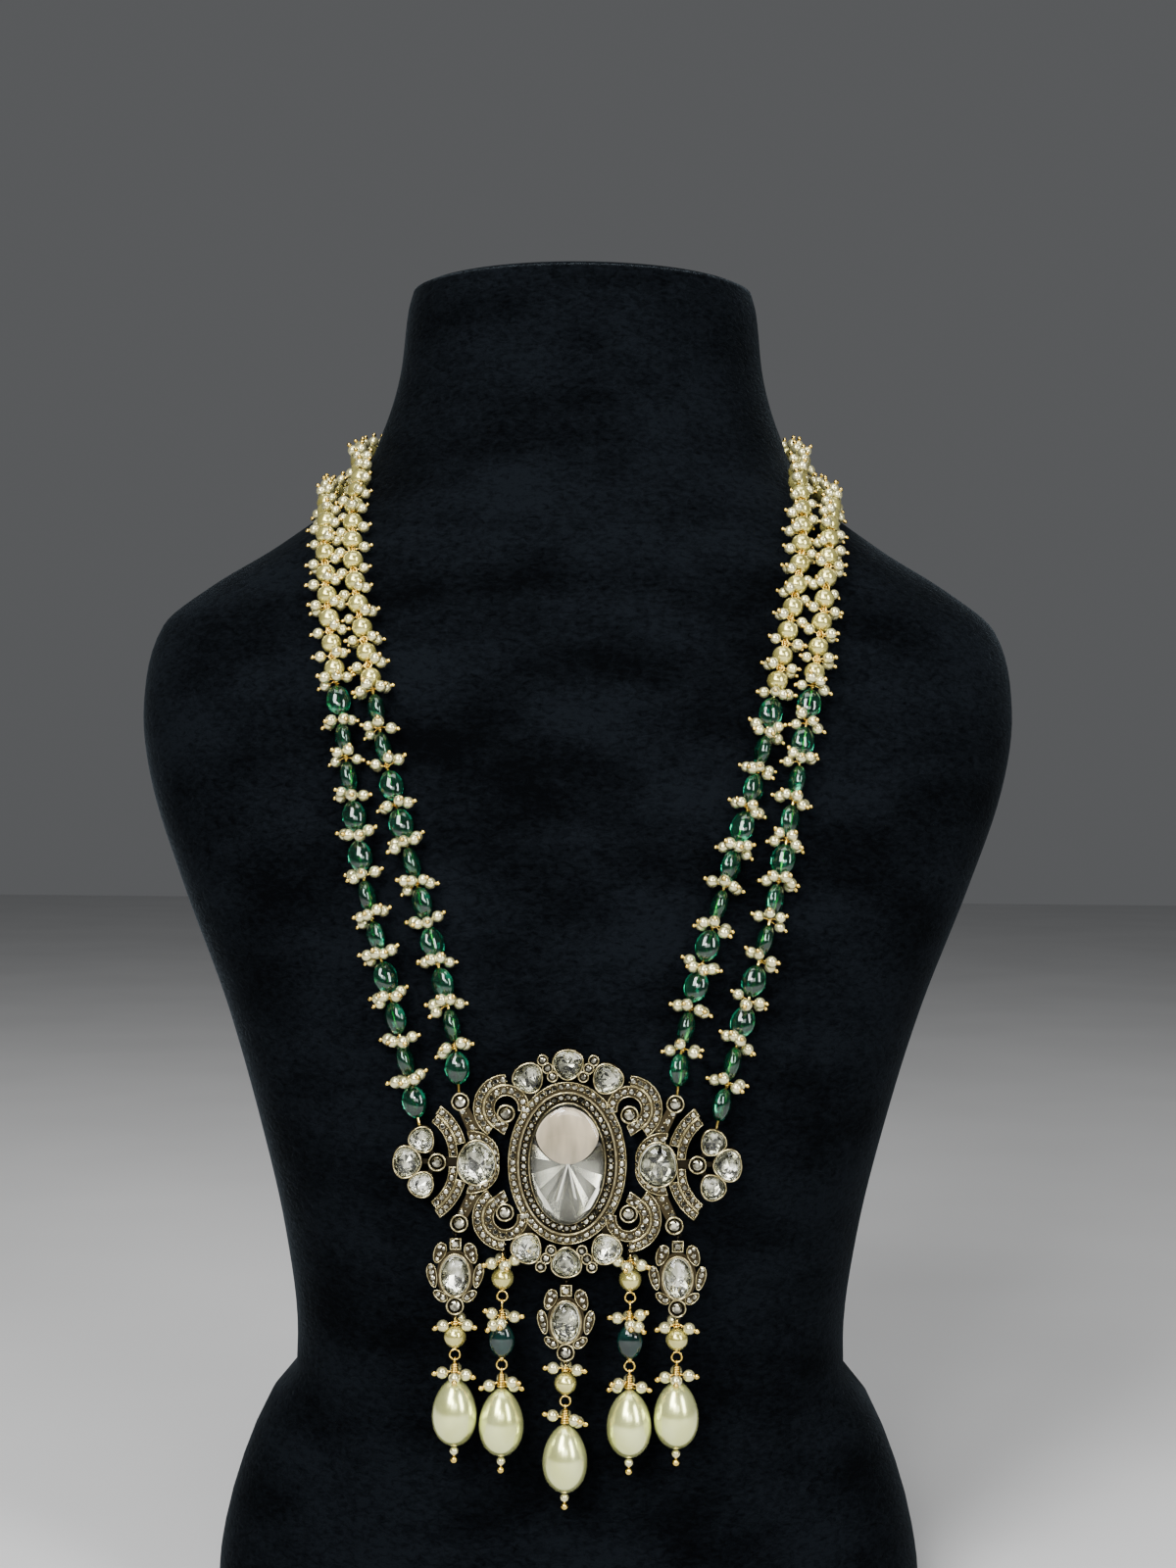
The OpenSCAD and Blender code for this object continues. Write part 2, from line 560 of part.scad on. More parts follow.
module drop_pearl(k) { color(PEARL) bored(DROP_X[k - 1], PEARL_DEPTH[k - 1], pearl_r) sphere(pearl_r); }
module oval_bead() { scale([green_w, green_t, green_l] / 2) sphere(1); }
module drop_oval_bead(k) {
    color(GREEN) bored(DROP_X[k - 1], OVAL_DEPTH[k - 1], green_l / 2) oval_bead();
}
module drop_pear(k) {
    // Widest below the middle: a sine bulge that a power of the half angle pulls down.
    peak = max([for (a = [0 : 180]) sin(a) * sin(a / 2) ^ 0.28]);
    half = [for (a = [0 : 7.5 : 180]) [pear_w / 2 * sin(a) * sin(a / 2) ^ 0.28 / peak, -pear_h / 2 * cos(a)]];
    color(PEARL) bored(DROP_X[k - 1], PEAR_TOP[k - 1] + pear_h / 2, pear_h / 2)
        rotate_extrude() polygon(half);
}
module tip_pearls() {
    color(PEARL) for (k = [1 : 5]) bored(DROP_X[k - 1], TIP_DEPTH[k - 1], tip_r) sphere(tip_r);
}

// Pins: a loop, wire wrapped round itself, then the rod through the bead.
module pin_top(x, depth, r, wrap) {
    loop_at(x, depth, r, 90);
    wire_down(x, depth + r, depth + r + wrap, 2 * wire_r);
}
module pearl_pins() {
    color(WIRE) for (k = [1 : 5]) {
        x = DROP_X[k - 1];
        pin_top(x, PEARL_LOOP[k - 1], lug_r, PEARL_WRAP[k - 1]);
        wire_down(x, PEARL_LOOP[k - 1] + lug_r, PEARL_EYE[k - 1] - eye_r);
        loop_at(x, PEARL_EYE[k - 1], eye_r);
    }
}
module oval_pins() {
    color(WIRE) for (k = [2, 4]) {
        x = DROP_X[k - 1];
        pin_top(x, OVAL_LOOP[k - 1], eye_r, oval_wrap);
        wire_down(x, OVAL_LOOP[k - 1] + eye_r, OVAL_EYE[k - 1] - eye_r);
        loop_at(x, OVAL_EYE[k - 1], eye_r);
    }
}
module pear_pins() {
    color(WIRE) for (k = [1 : 5]) {
        x = DROP_X[k - 1];
        ball = TIP_DEPTH[k - 1] + tip_r + bore_gap + ball_r;
        pin_top(x, PEAR_LOOP[k - 1], lug_r, pear_wrap);
        wire_down(x, PEAR_LOOP[k - 1] + lug_r, ball);
        upright(x, ball) sphere(ball_r, $fn = 24);
    }
}

// The strands, drawn for the right side and mirrored to the left.
// Chosen places on the chest: x as a share of half the shoulder width, height as a share of bust_h.
INNER_CHEST = [[0.237, 0.447], [0.308, 0.53], [0.384, 0.614], [0.443, 0.7],
               [0.481, 0.76], [0.491, 0.806], [0.483, 0.84]];
OUTER_CHEST = [[0.35, 0.447], [0.419, 0.53], [0.469, 0.614], [0.516, 0.7],
               [0.543, 0.76], [0.552, 0.797]];
// Chosen places round the neck: angle from straight ahead, height as a share of bust_h.
INNER_NAPE = [[90, 0.866], [108, 0.876], [128, 0.88], [150, 0.881]];
OUTER_NAPE = [[90, 0.832], [108, 0.848], [128, 0.856], [150, 0.858]];

// Where the strands enter the frame's upper edge, and the hole there.
INNER_MOUTH = STEM + [0.5, round_r + small_bezel];
OUTER_MOUTH = trefoil_row(1, 1)[0] + [0.9, trefoil_l / 2 + bezel];
MOUTH_DEPTH = 1.3;
bore_r = thread_r + bore_gap;
stand_off = pearl_r + skin_gap;

function unit(v) = v / norm(v);
function on_skin(a, z, off) = torso_point(a, z) + off * torso_normal(a, z);
function clasp_mouth(z) = [clasp_w / 2, torso_point(180, clasp_z)[1] + stand_off, z];
clasp_z = (INNER_NAPE[3][1] + OUTER_NAPE[3][1]) / 2 * bust_h;

function chest_points(rows) =
    [for (c = rows) let (z = c[1] * bust_h) on_skin(torso_angle(c[0] * shoulder_w / 2, z), z, stand_off)];
function nape_points(rows) = [for (c = rows) on_skin(c[0], c[1] * bust_h, stand_off)];
function route(mouth, chest, nape) =
    let (start = [mouth[0], pendant_y - plate_t / 2, pendant_z + mouth[1]],
         first = chest_points(chest)[0],
         away = unit([first[0] - start[0], 0, first[2] - start[2]]))
    concat([start, start + 4 * away + [0, 0.5, 0]], chest_points(chest), nape_points(nape),
           [clasp_mouth(nape[3][1] * bust_h)]);

// Smooth curve through the points, its length up to each, and the point at length s.
function bend(p, i, u) =
    let (a = p[max(i - 1, 0)], b = p[i], c = p[i + 1], d = p[min(i + 2, len(p) - 1)])
    (2 * b + (c - a) * u + (2 * a - 5 * b + 4 * c - d) * u ^ 2 + (3 * b - a - 3 * c + d) * u ^ 3) / 2;
function curve(p, n = 10) =
    concat([for (i = [0 : len(p) - 2]) for (k = [0 : n - 1]) bend(p, i, k / n)], [p[len(p) - 1]]);
function lengths(c) =
    [for (i = 0, s = 0; i < len(c); s = s + (i + 1 < len(c) ? norm(c[i + 1] - c[i]) : 0), i = i + 1) s];
// A point of a strand, moved off the velvet where it would be closer than the beads allow.
function hug(p) =
    let (a = atan2(p[0], spine(section_at(TORSO, p[2])) - p[1]), n = torso_normal(a, p[2]))
    p + max(0, stand_off - (p - torso_point(a, p[2])) * n) * n;
function laid(c, free = 20) = [for (i = [0 : len(c) - 1]) i < free || i == len(c) - 1 ? c[i] : hug(hug(c[i]))];
function place(c, l, s) =
    [for (axis = [0 : 2]) lookup(s, [for (i = [0 : len(c) - 1]) [l[i], c[i][axis]]])];

// Places between beads: green_n green beads, then pearls evenly to the clasp.
LEAD = 0.6;
function joints(c, green_n) =
    let (l = lengths(c), total = l[len(l) - 1] - LEAD, bent = LEAD + green_n * green_pitch,
         n = floor((total - bent) / pearl_pitch), step = (total - bent) / n)
    concat([for (k = [0 : green_n]) place(c, l, LEAD + k * green_pitch)],
           [for (k = [1 : n]) place(c, l, bent + k * step)]);
function thread(c, j) =
    concat([c[0] - unit(c[4] - c[0]) * MOUTH_DEPTH, c[0]], j, [c[len(c) - 1] - [clasp_w / 4, 0, 0]]);

INNER_CURVE = laid(curve(route(INNER_MOUTH, INNER_CHEST, INNER_NAPE)));
OUTER_CURVE = laid(curve(route(OUTER_MOUTH, OUTER_CHEST, OUTER_NAPE)));
INNER_JOINTS = joints(INNER_CURVE, inner_green_n);
OUTER_JOINTS = joints(OUTER_CURVE, outer_green_n);
INNER_THREAD = thread(INNER_CURVE, INNER_JOINTS);
OUTER_THREAD = thread(OUTER_CURVE, OUTER_JOINTS);

// Axes at a point of a strand: sideways, outward from the body, along.
function axes(p, along) =
    let (out = unit([p[0], p[1] - spine(section_at(TORSO, p[2])), 0]), side = unit(cross(out, along)))
    [side, cross(along, side), along];
module on_line(p, q, twist = 0) {
    m = axes((p + q) / 2, unit(q - p));
    c = (p + q) / 2;
    multmatrix([for (r = [0 : 2]) [m[0][r], m[1][r], m[2][r], c[r]]]) rotate(twist) children();
}
module rod(p, q, r) { on_line(p, q) cylinder(r = r, h = norm(q - p) + 0.4, center = true, $fn = 16); }
module to_side(s) { mirror([s < 0 ? 1 : 0, 0, 0]) children(); }

module bead_bore(l) { cylinder(r = bore_r, h = l + 2, center = true, $fn = 16); }
module green_beads(s, j, n) {
    color(GREEN) to_side(s) for (k = [0 : n - 1])
        on_line(j[k], j[k + 1], 62 * sin(100 * k + 25 * s)) difference() {
            oval_bead();
            bead_bore(green_l);
        }
}
module pearls(s, j, n) {
    color(PEARL) to_side(s) for (k = [n : len(j) - 2])
        on_line(j[k], j[k + 1]) difference() {
            sphere(pearl_r);
            bead_bore(2 * pearl_r);
        }
}
module thread_of(s, t) {
    n = len(t);
    color(WIRE) to_side(s) loft([for (i = [0 : n - 1])
        let (along = unit(t[min(i + 1, n - 1)] - t[max(i - 1, 0)]), m = axes(t[i], along))
        [for (k = [0 : 5]) t[i] + thread_r * (cos(60 * k) * m[0] + sin(60 * k) * m[1])]]);
}

module clasp() {
    tall = (INNER_NAPE[3][1] - OUTER_NAPE[3][1]) * bust_h + 6;
    mid = [0, clasp_mouth(0)[1], clasp_z];
    color(WIRE) difference() {
        translate(mid) rotate([90, 0, 0]) linear_extrude(clasp_t, center = true)
            offset(r = 2) square([clasp_w - 4, tall - 4], center = true);
        for (s = [0, 1]) mirror([s, 0, 0]) for (z = [INNER_NAPE[3][1], OUTER_NAPE[3][1]])
            translate(clasp_mouth(z * bust_h)) rotate([0, -90, 0]) cylinder(r = bore_r, h = clasp_w / 4 + 0.3);
    }
}

module top_petal() { big_gem(petal_row(0)); }
module bottom_petal() { big_gem(petal_row(180)); }
module upper_petal(s) { big_gem(petal_row(s * PETAL_TURN)); }
module lower_petal(s) { big_gem(petal_row(180 - s * PETAL_TURN)); }

bust();
pendant_frame();
centre_stone();
top_petal();
bottom_petal();
round_stones();
leaf_stones();
medallion(3);  // centre_medallion
medallion_stone(3);  // centre_medallion_stone
medallion_round_stones();
medallion_square_stones();
tip_pearls();
pear_pins();
pearl_pins();
oval_pins();
clasp();
for (s = SIDES) {
    upper_petal(s[1]);
    lower_petal(s[1]);
    side_stone(s[1]);
    medallion(3 + 2 * s[1]);
    medallion_stone(3 + 2 * s[1]);
    drop_oval_bead(3 + s[1]);
    for (k = [1 : 3]) trefoil_stone(s[1], k);
    green_beads(s[1], INNER_JOINTS, inner_green_n);
    green_beads(s[1], OUTER_JOINTS, outer_green_n);
    pearls(s[1], INNER_JOINTS, inner_green_n);
    pearls(s[1], OUTER_JOINTS, outer_green_n);
    thread_of(s[1], INNER_THREAD);
    thread_of(s[1], OUTER_THREAD);
}
for (k = [1 : 5]) {
    drop_pearl(k);
    drop_pear(k);
}
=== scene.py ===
# %% [markdown]
# # A kundan necklace on a velvet bust
#
# Kundan is folk jewellery of south Asia: foil-backed stones held in soft gold walls, with rows of
# tiny stones between them, and pearls that hang below. This lesson dresses a CAD model of one
# such necklace. The CAD gives every size and place. Here each surface gets its looks, and the
# fine work that is too small for the CAD is added: stone rows, grains, rims, seed pearls, wire.

import math
import random

import bmesh
import bpy
import numpy as np
from mathutils import Matrix, Vector


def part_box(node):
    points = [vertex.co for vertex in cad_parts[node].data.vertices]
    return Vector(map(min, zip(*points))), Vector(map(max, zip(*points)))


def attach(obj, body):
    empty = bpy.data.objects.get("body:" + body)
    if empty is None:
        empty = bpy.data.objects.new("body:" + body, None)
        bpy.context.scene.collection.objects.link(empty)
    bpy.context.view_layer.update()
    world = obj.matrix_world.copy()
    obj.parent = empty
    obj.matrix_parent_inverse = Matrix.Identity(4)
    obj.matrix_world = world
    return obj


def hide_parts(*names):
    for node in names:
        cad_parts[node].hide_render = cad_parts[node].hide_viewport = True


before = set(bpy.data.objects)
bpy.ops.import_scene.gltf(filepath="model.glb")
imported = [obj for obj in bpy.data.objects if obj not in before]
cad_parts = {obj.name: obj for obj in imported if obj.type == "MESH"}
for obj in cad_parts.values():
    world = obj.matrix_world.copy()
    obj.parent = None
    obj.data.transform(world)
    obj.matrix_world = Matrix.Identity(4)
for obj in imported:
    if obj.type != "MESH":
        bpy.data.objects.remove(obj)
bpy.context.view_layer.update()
MM = 0.001
print("CAD nodes:", len(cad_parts))

# %% [markdown]
# ## The camera
#
# The photo looks straight ahead at the middle of the bust from a little over half a metre, and it
# is held a touch crooked. Perspective shows in how far the shoulders fall behind the pendant, so
# the distance matters as much as the lens.

# %% Camera
LENS, SENSOR = 51.93, 36
EYE_X, EYE_AWAY, EYE_Z = 13, 602, 240
PAN, ROLL = 0.8, 0.5


def linked(name, data):
    """A new object in the scene."""
    obj = bpy.data.objects.new(name, data)
    bpy.context.collection.objects.link(obj)
    return obj


def turned(degrees, axis):
    return Matrix.Rotation(math.radians(degrees), 4, axis)


pendant_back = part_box("pendant_frame")[1].y / MM
pendant_z = (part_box("centre_stone")[0].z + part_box("centre_stone")[1].z) / 2 / MM
camera = linked("photo_camera", bpy.data.cameras.new("photo_camera"))
camera.data.lens, camera.data.sensor_width = LENS, SENSOR
eye = Matrix.Translation((EYE_X * MM, (pendant_back - EYE_AWAY) * MM, EYE_Z * MM))
camera.matrix_world = eye @ turned(PAN, "Z") @ turned(90, "X") @ turned(ROLL, "Z")
bpy.context.scene.camera = camera
print("pendant back y", round(pendant_back, 2), "mm, middle z", round(pendant_z, 2), "mm")

# %% [markdown]
# ## Helpers for materials
#
# Every finish here is a Principled shader with a few texture nodes in front of it. Patterns read
# Object coordinates: all pieces sit at the origin unturned, so a pattern stays put on its piece.

# %% Material helpers
def put(tree, socket, value):
    """Links a socket where the value is one too, and sets its number otherwise."""
    if isinstance(value, bpy.types.NodeSocket):
        tree.links.new(value, socket)
    else:
        socket.default_value = value


def node(tree, kind, settings=(), **inputs):
    """A new node with its settings, and with its inputs set by name."""
    made = tree.nodes.new(kind)
    for key, value in dict(settings).items():
        setattr(made, key, value)
    for name, value in inputs.items():
        put(tree, made.inputs[name.replace("_", " ")], value)
    return made


def new_material(name, **sockets):
    """A material, its tree and its Principled shader, with the shader's sockets set by name."""
    material = bpy.data.materials.new(name)
    material.use_nodes = True
    shader = material.node_tree.nodes["Principled BSDF"]
    for socket, value in sockets.items():
        shader.inputs[socket.replace("_", " ")].default_value = value
    return material, material.node_tree, shader


def coordinates(tree, stretch=None):
    """Object coordinates, scaled along each axis where a stretch is given."""
    where = node(tree, "ShaderNodeTexCoord").outputs["Object"]
    if stretch:
        where = node(tree, "ShaderNodeMapping", Vector=where, Scale=stretch).outputs["Vector"]
    return where


def noise(tree, where, scale, detail, **inputs):
    made = node(tree, "ShaderNodeTexNoise", Vector=where, Scale=scale, Detail=detail, **inputs)
    return made.outputs["Fac"]


def ramp(tree, factor, stops):
    """Colour ramp from (place, colour) stops."""
    made = node(tree, "ShaderNodeValToRGB", Fac=factor)
    elements = made.color_ramp.elements
    while len(elements) < len(stops):
        elements.new(0.5)
    for element, (place, colour) in zip(elements, stops):
        element.position = place
        element.color = (*colour, 1)
    return made.outputs["Color"]


def bump(tree, shader, height, strength, distance):
    made = node(tree, "ShaderNodeBump", Height=height, Strength=strength, Distance=distance)
    put(tree, shader.inputs["Normal"], made.outputs["Normal"])


def patterned(name, scale, detail, stops, relief=None, stretch=None, distortion=0.0, **sockets):
    """A finish coloured by noise through a ramp; relief is the strength and distance of a bump."""
    material, tree, shader = new_material(name, **sockets)
    pattern = noise(tree, coordinates(tree, stretch), scale, detail, Distortion=distortion)
    put(tree, shader.inputs["Base Color"], ramp(tree, pattern, stops))
    if relief:
        bump(tree, shader, pattern, *relief)
    return material


print("material helpers ready")

# %% [markdown]
# ## Black velvet
#
# Velvet drinks light where it is seen end on and glows softly at its edges. The base colour is
# almost black, the sheen gives the edge glow, and two sizes of noise stand for the nap and for the
# marks that hands leave in it.

# %% Velvet
NAP_STRETCH, NAP_DEPTH = (1, 1, 1.9), 0.0009


def velvet():
    material, tree, shader = new_material(
        "black_velvet", Roughness=0.95, Sheen_Weight=0.06, Sheen_Roughness=0.3,
        Sheen_Tint=(0.5, 0.62, 0.72, 1), Specular_IOR_Level=0.02,
    )
    where = coordinates(tree, NAP_STRETCH)
    nap = noise(tree, where, 420.0, 3.0, Roughness=0.65, Distortion=0.6)
    both = node(tree, "ShaderNodeMath", {"operation": "MULTIPLY"}, Value=nap)
    put(tree, both.inputs[1], noise(tree, where, 26.0, 2.0))
    stops = [(0.14, (0.0005, 0.0007, 0.001)), (0.36, (0.003, 0.004, 0.0054))]
    put(tree, shader.inputs["Base Color"], ramp(tree, both.outputs["Value"], stops))
    bump(tree, shader, nap, 0.5, NAP_DEPTH)
    return material


velvet_finish = velvet()
print("velvet ready")

# %% [markdown]
# ## Antique gold
#
# The frame is gold-plated and then darkened, so the hollows stay brown and only what a cloth can
# reach is bright. The pendant is flat and faces -Y, so the depth behind its front is simply the
# object's Y coordinate, and a ramp over it puts the bright gold on the high edges.

# %% Antique gold and bright gold
# How far before the pendant's back the gold is brightest and darkest.
BRIGHT_AT, DARK_AT = 3.35, 1.4


def antique_gold():
    """Dark in the hollows, bright at the front, with fine casting marks."""
    material, tree, shader = new_material("antique_gold", Metallic=1.0)
    where = coordinates(tree)
    depth = node(tree, "ShaderNodeSeparateXYZ", Vector=where).outputs["Y"]
    dark, bright = (pendant_back - DARK_AT) * MM, (pendant_back - BRIGHT_AT) * MM
    high = node(tree, "ShaderNodeMapRange", Value=depth, From_Min=dark, From_Max=bright)
    stops = [
        (0.0, (0.012, 0.010, 0.007)), (0.5, (0.048, 0.037, 0.019)),
        (0.72, (0.105, 0.084, 0.046)), (1.0, (0.37, 0.31, 0.18)),
    ]
    grain = noise(tree, where, 1100.0, 3.0)
    dull = node(tree, "ShaderNodeMapRange", Value=grain, To_Min=0.26, To_Max=0.5)
    put(tree, shader.inputs["Base Color"], ramp(tree, high.outputs["Result"], stops))
    put(tree, shader.inputs["Roughness"], dull.outputs["Result"])
    bump(tree, shader, grain, 0.35, 0.0003)
    return material


def bright_gold(name, light, dark):
    stops = [(0.35, dark), (0.6, light)]
    return patterned(name, 700.0, 2.0, stops, (0.1, 0.0001), Metallic=1.0, Roughness=0.2)


frame_gold = antique_gold()
rim_gold = bright_gold("rim_gold", (0.62, 0.54, 0.29), (0.23, 0.19, 0.09))
wire_gold = bright_gold("wire_gold", (0.88, 0.63, 0.16), (0.62, 0.41, 0.07))
print("golds ready")

# %% [markdown]
# ## Stones, pearls and beads
#
# A kundan stone is clear, flat-backed and laid on silver foil, so its sparkle comes from behind.
# Large stones here are two pieces: a glass crown, and under it a faceted foil that mirrors the
# light back. Small stones are one faceted piece with a silvery finish. Pearls have a soft coat over
# a cream body, and the oval beads are coloured glass.

# %% Stone finishes
crown_finish = patterned(
    "clear_crystal", 160.0, 1.0, [(0.3, (0.95, 0.95, 0.92)), (0.7, (1.0, 1.0, 0.99))],
    Roughness=0.01, IOR=1.5, Transmission_Weight=1.0,
)
# Thin silver under the stones: patches of clean metal and of grey, softly wrinkled.
foil_finish = patterned(
    "silver_foil", 230.0, 2.0,
    [(0.36, (0.15, 0.15, 0.11)), (0.45, (0.40, 0.40, 0.31)),
     (0.53, (0.62, 0.62, 0.50)), (0.61, (1.0, 1.0, 0.9))],
    (0.3, 0.0008), distortion=0.5, Metallic=1.0, Roughness=0.1,
)
small_stone_finish = patterned(
    "small_crystal", 850.0, 1.0,
    [(0.36, (0.075, 0.068, 0.045)), (0.5, (0.23, 0.22, 0.16)), (0.64, (0.60, 0.575, 0.455))],
    Metallic=1.0, Roughness=0.07, Coat_Weight=1.0, Coat_Roughness=0.02,
)
print("stone finishes ready")


# %% Pearl and glass bead finishes
def pearl(name, light, deep, roughness, scale):
    """Cream body under a glossy skin; a share of metal stands for the layers that mirror below it."""
    return patterned(
        name, scale, 2.0, [(0.3, deep), (0.62, light)], (0.05, 0.0002),
        Roughness=roughness, Metallic=0.75, Coat_Weight=1.0, Coat_Roughness=0.06, Coat_IOR=1.6,
    )


def tinted_glass(name, light, deep, clear):
    return patterned(
        name, 260.0, 3.0, [(0.35, deep), (0.68, light)], (0.12, 0.0004),
        Roughness=0.08, IOR=1.52, Transmission_Weight=clear, Coat_Weight=0.3, Coat_Roughness=0.03,
    )


round_pearl_finish = pearl("cream_pearl", (0.72, 0.66, 0.22), (0.46, 0.40, 0.10), 0.2, 240.0)
pear_pearl_finish = pearl("pear_pearl", (0.82, 0.86, 0.39), (0.68, 0.71, 0.25), 0.23, 110.0)
seed_pearl_finish = pearl("seed_pearl", (0.80, 0.76, 0.42), (0.56, 0.51, 0.23), 0.19, 500.0)
bead_finish = tinted_glass("emerald_glass", (0.010, 0.22, 0.11), (0.002, 0.08, 0.04), 0.94)
drop_bead_finish = tinted_glass("dark_green_glass", (0.006, 0.05, 0.042), (0.002, 0.018, 0.015), 0.6)
print("pearl and glass finishes ready")

# %% [markdown]
# ## Reading the CAD
#
# The CAD nodes are the fixed truth, so places are read from them and not typed again. A node can
# hold many loose solids, such as a strand's beads. A merged copy is split into those solids, and
# the middle and main directions of each are found from its vertices.

# %% Helpers that read CAD solids
WELD = 2e-6


def solids_of(name):
    """Vertices, in mm, of each loose solid of a CAD node."""
    bm = bmesh.new()
    bm.from_mesh(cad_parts[name].data)
    bmesh.ops.remove_doubles(bm, verts=bm.verts, dist=WELD)
    seen, found = set(), []
    for start in bm.verts:
        if start in seen:
            continue
        seen.add(start)
        queue, part = [start], []
        while queue:
            v = queue.pop()
            part.append(v.co[:])
            for e in v.link_edges:
                w = e.other_vert(v)
                if w not in seen:
                    seen.add(w)
                    queue.append(w)
        if len(part) > 3:
            found.append(np.array(part) / MM)
    bm.free()
    return found


def middle(points):
    return (points.min(0) + points.max(0)) / 2


def box_in_mm(name):
    """Lowest and highest corner of a CAD node."""
    return (np.array(v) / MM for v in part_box(name))


def unit(v):
    v = np.asarray(v, float)
    return v / np.linalg.norm(v)


def chain(centres, start):
    """The order in which each centre is the nearest one left to the one before."""
    left, order, at = list(range(len(centres))), [], np.asarray(start, float)
    while left:
        k = min(left, key=lambda i: np.linalg.norm(centres[i] - at))
        order.append(k)
        left.remove(k)
        at = centres[k]
    return order


print("bust has", len(solids_of("bust")), "solid")

# %% [markdown]
# ## Helpers that make pieces
#
# A mesh is made from plain lists of vertices and faces in millimetres. Anything that is repeated
# is grown by a Geometry Nodes tree from points or lines, and the result is turned into a plain
# mesh, so that it exports like any other piece.

# %% Mesh helpers
ROOT = "root"


def new_mesh(name, vertices, edges=(), faces=()):
    mesh = bpy.data.meshes.new(name)
    mesh.from_pydata([Vector(v) * MM for v in vertices], edges, faces)
    return mesh


def mesh_object(name, vertices, faces, smooth=True):
    mesh = new_mesh(name, vertices, faces=faces)
    mesh.validate()
    mesh.polygons.foreach_set("use_smooth", [smooth] * len(mesh.polygons))
    return linked(name, mesh)


def outward(obj):
    """Turns all faces outward."""
    bm = bmesh.new()
    bm.from_mesh(obj.data)
    bmesh.ops.recalc_face_normals(bm, faces=bm.faces)
    bm.to_mesh(obj.data)
    bm.free()
    return obj


def finish_piece(obj, material, replaced=()):
    """Gives a finished piece its material, and lets it ride on the body."""
    if material:
        obj.data.materials.clear()
        obj.data.materials.append(material)
    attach(obj, ROOT)
    if replaced:
        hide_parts(*replaced)
    obj.data.calc_loop_triangles()
    print(f"{obj.name}: {len(obj.data.loop_triangles)} triangles")


def joined(parts):
    """One list of vertices and faces from several."""
    vertices, faces = [], []
    for v, f in parts:
        faces += [tuple(i + len(vertices) for i in face) for face in f]
        vertices += list(v)
    return vertices, faces


def moved(points, by):
    return [tuple(np.add(p, by)) for p in points]


print("pieces ride on", ROOT)


# %% Faces between rings, and round forms
def angles_round(count):
    return [2 * math.pi * k / count for k in range(count)]


def bands(count, n, first=0, closed=False):
    """Quads between rings of n points; closed joins the last ring to the first as well."""
    quads = []
    for k in range(count if closed else count - 1):
        a, b = first + k * n, first + (k + 1) % count * n
        quads += [(a + i, a + (i + 1) % n, b + (i + 1) % n, b + i) for i in range(n)]
    return quads


def fan(tip, first, n):
    """Triangles from a tip to a ring of n points."""
    return [(tip, first + i, first + (i + 1) % n) for i in range(n)]


def flipped(faces):
    """The same faces, looking the other way."""
    return [(face[0],) + face[:0:-1] for face in faces]


def revolve(profile, segments):
    """Vertices and faces of a closed (radius, height) profile turned round Z."""
    vertices = [(r * math.cos(a), r * math.sin(a), h) for a in angles_round(segments) for r, h in profile]
    return vertices, flipped(bands(segments, len(profile), closed=True))


def ball(radius, segments, rings, centre=(0, 0, 0)):
    """A small sphere: poles are fans of triangles."""
    vertices = [(0, 0, -radius)]
    for a in (math.pi * i / rings for i in range(1, rings)):
        vertices += [
            (radius * math.sin(a) * math.cos(b), radius * math.sin(a) * math.sin(b), -radius * math.cos(a))
            for b in angles_round(segments)
        ]
    vertices.append((0, 0, radius))
    top = len(vertices) - 1
    faces = flipped(fan(0, 1, segments)) + bands(rings - 1, segments, 1) + fan(top, top - segments, segments)
    return moved(vertices, centre), faces


def tube(points, radius, sides):
    """A tube along open points, with its ends closed."""
    points = [np.asarray(p, float) for p in points]
    vertices, across = [], None
    for i, p in enumerate(points):
        along = unit(points[min(i + 1, len(points) - 1)] - points[max(i - 1, 0)])
        if across is None:
            across = np.cross(along, (0, 0, 1) if abs(along[2]) < 0.9 else (1, 0, 0))
        across = unit(across - along * across.dot(along))
        up = np.cross(along, across)
        ring = [p + radius * (math.cos(a) * across + math.sin(a) * up) for a in angles_round(sides)]
        vertices += [tuple(v) for v in ring]
    faces = bands(len(points), sides)
    faces.append(tuple(reversed(range(sides))))
    faces.append(tuple(range(len(vertices) - sides, len(vertices))))
    return vertices, faces


def link(radius, wire, steps=14, sides=5):
    """A ring of wire that stands in the x z plane."""
    vertices = []
    for a in angles_round(steps):
        for b in angles_round(sides):
            r = radius + wire * math.cos(b)
            vertices.append((r * math.cos(a), wire * math.sin(b), r * math.sin(a)))
    return vertices, bands(steps, sides, closed=True)


def helix(radius, height, turns, steps, flare=0.0):
    """Points of a coil that stands on z = 0; flare widens its foot."""
    points = []
    for t in (i / steps for i in range(steps + 1)):
        r = radius + flare * (1 - t) ** 2
        a = 2 * math.pi * turns * t
        points.append((r * math.cos(a), r * math.sin(a), height * t))
    return points


print("round forms ready; a square band has", len(bands(2, 4)), "faces")

# %% [markdown]
# ## Three Geometry Nodes trees
#
# The first puts a shape at each point, aimed along an attribute. The second spaces a shape evenly
# along lines, as a setter spaces stones along a strip. The third sweeps a round wire along lines.

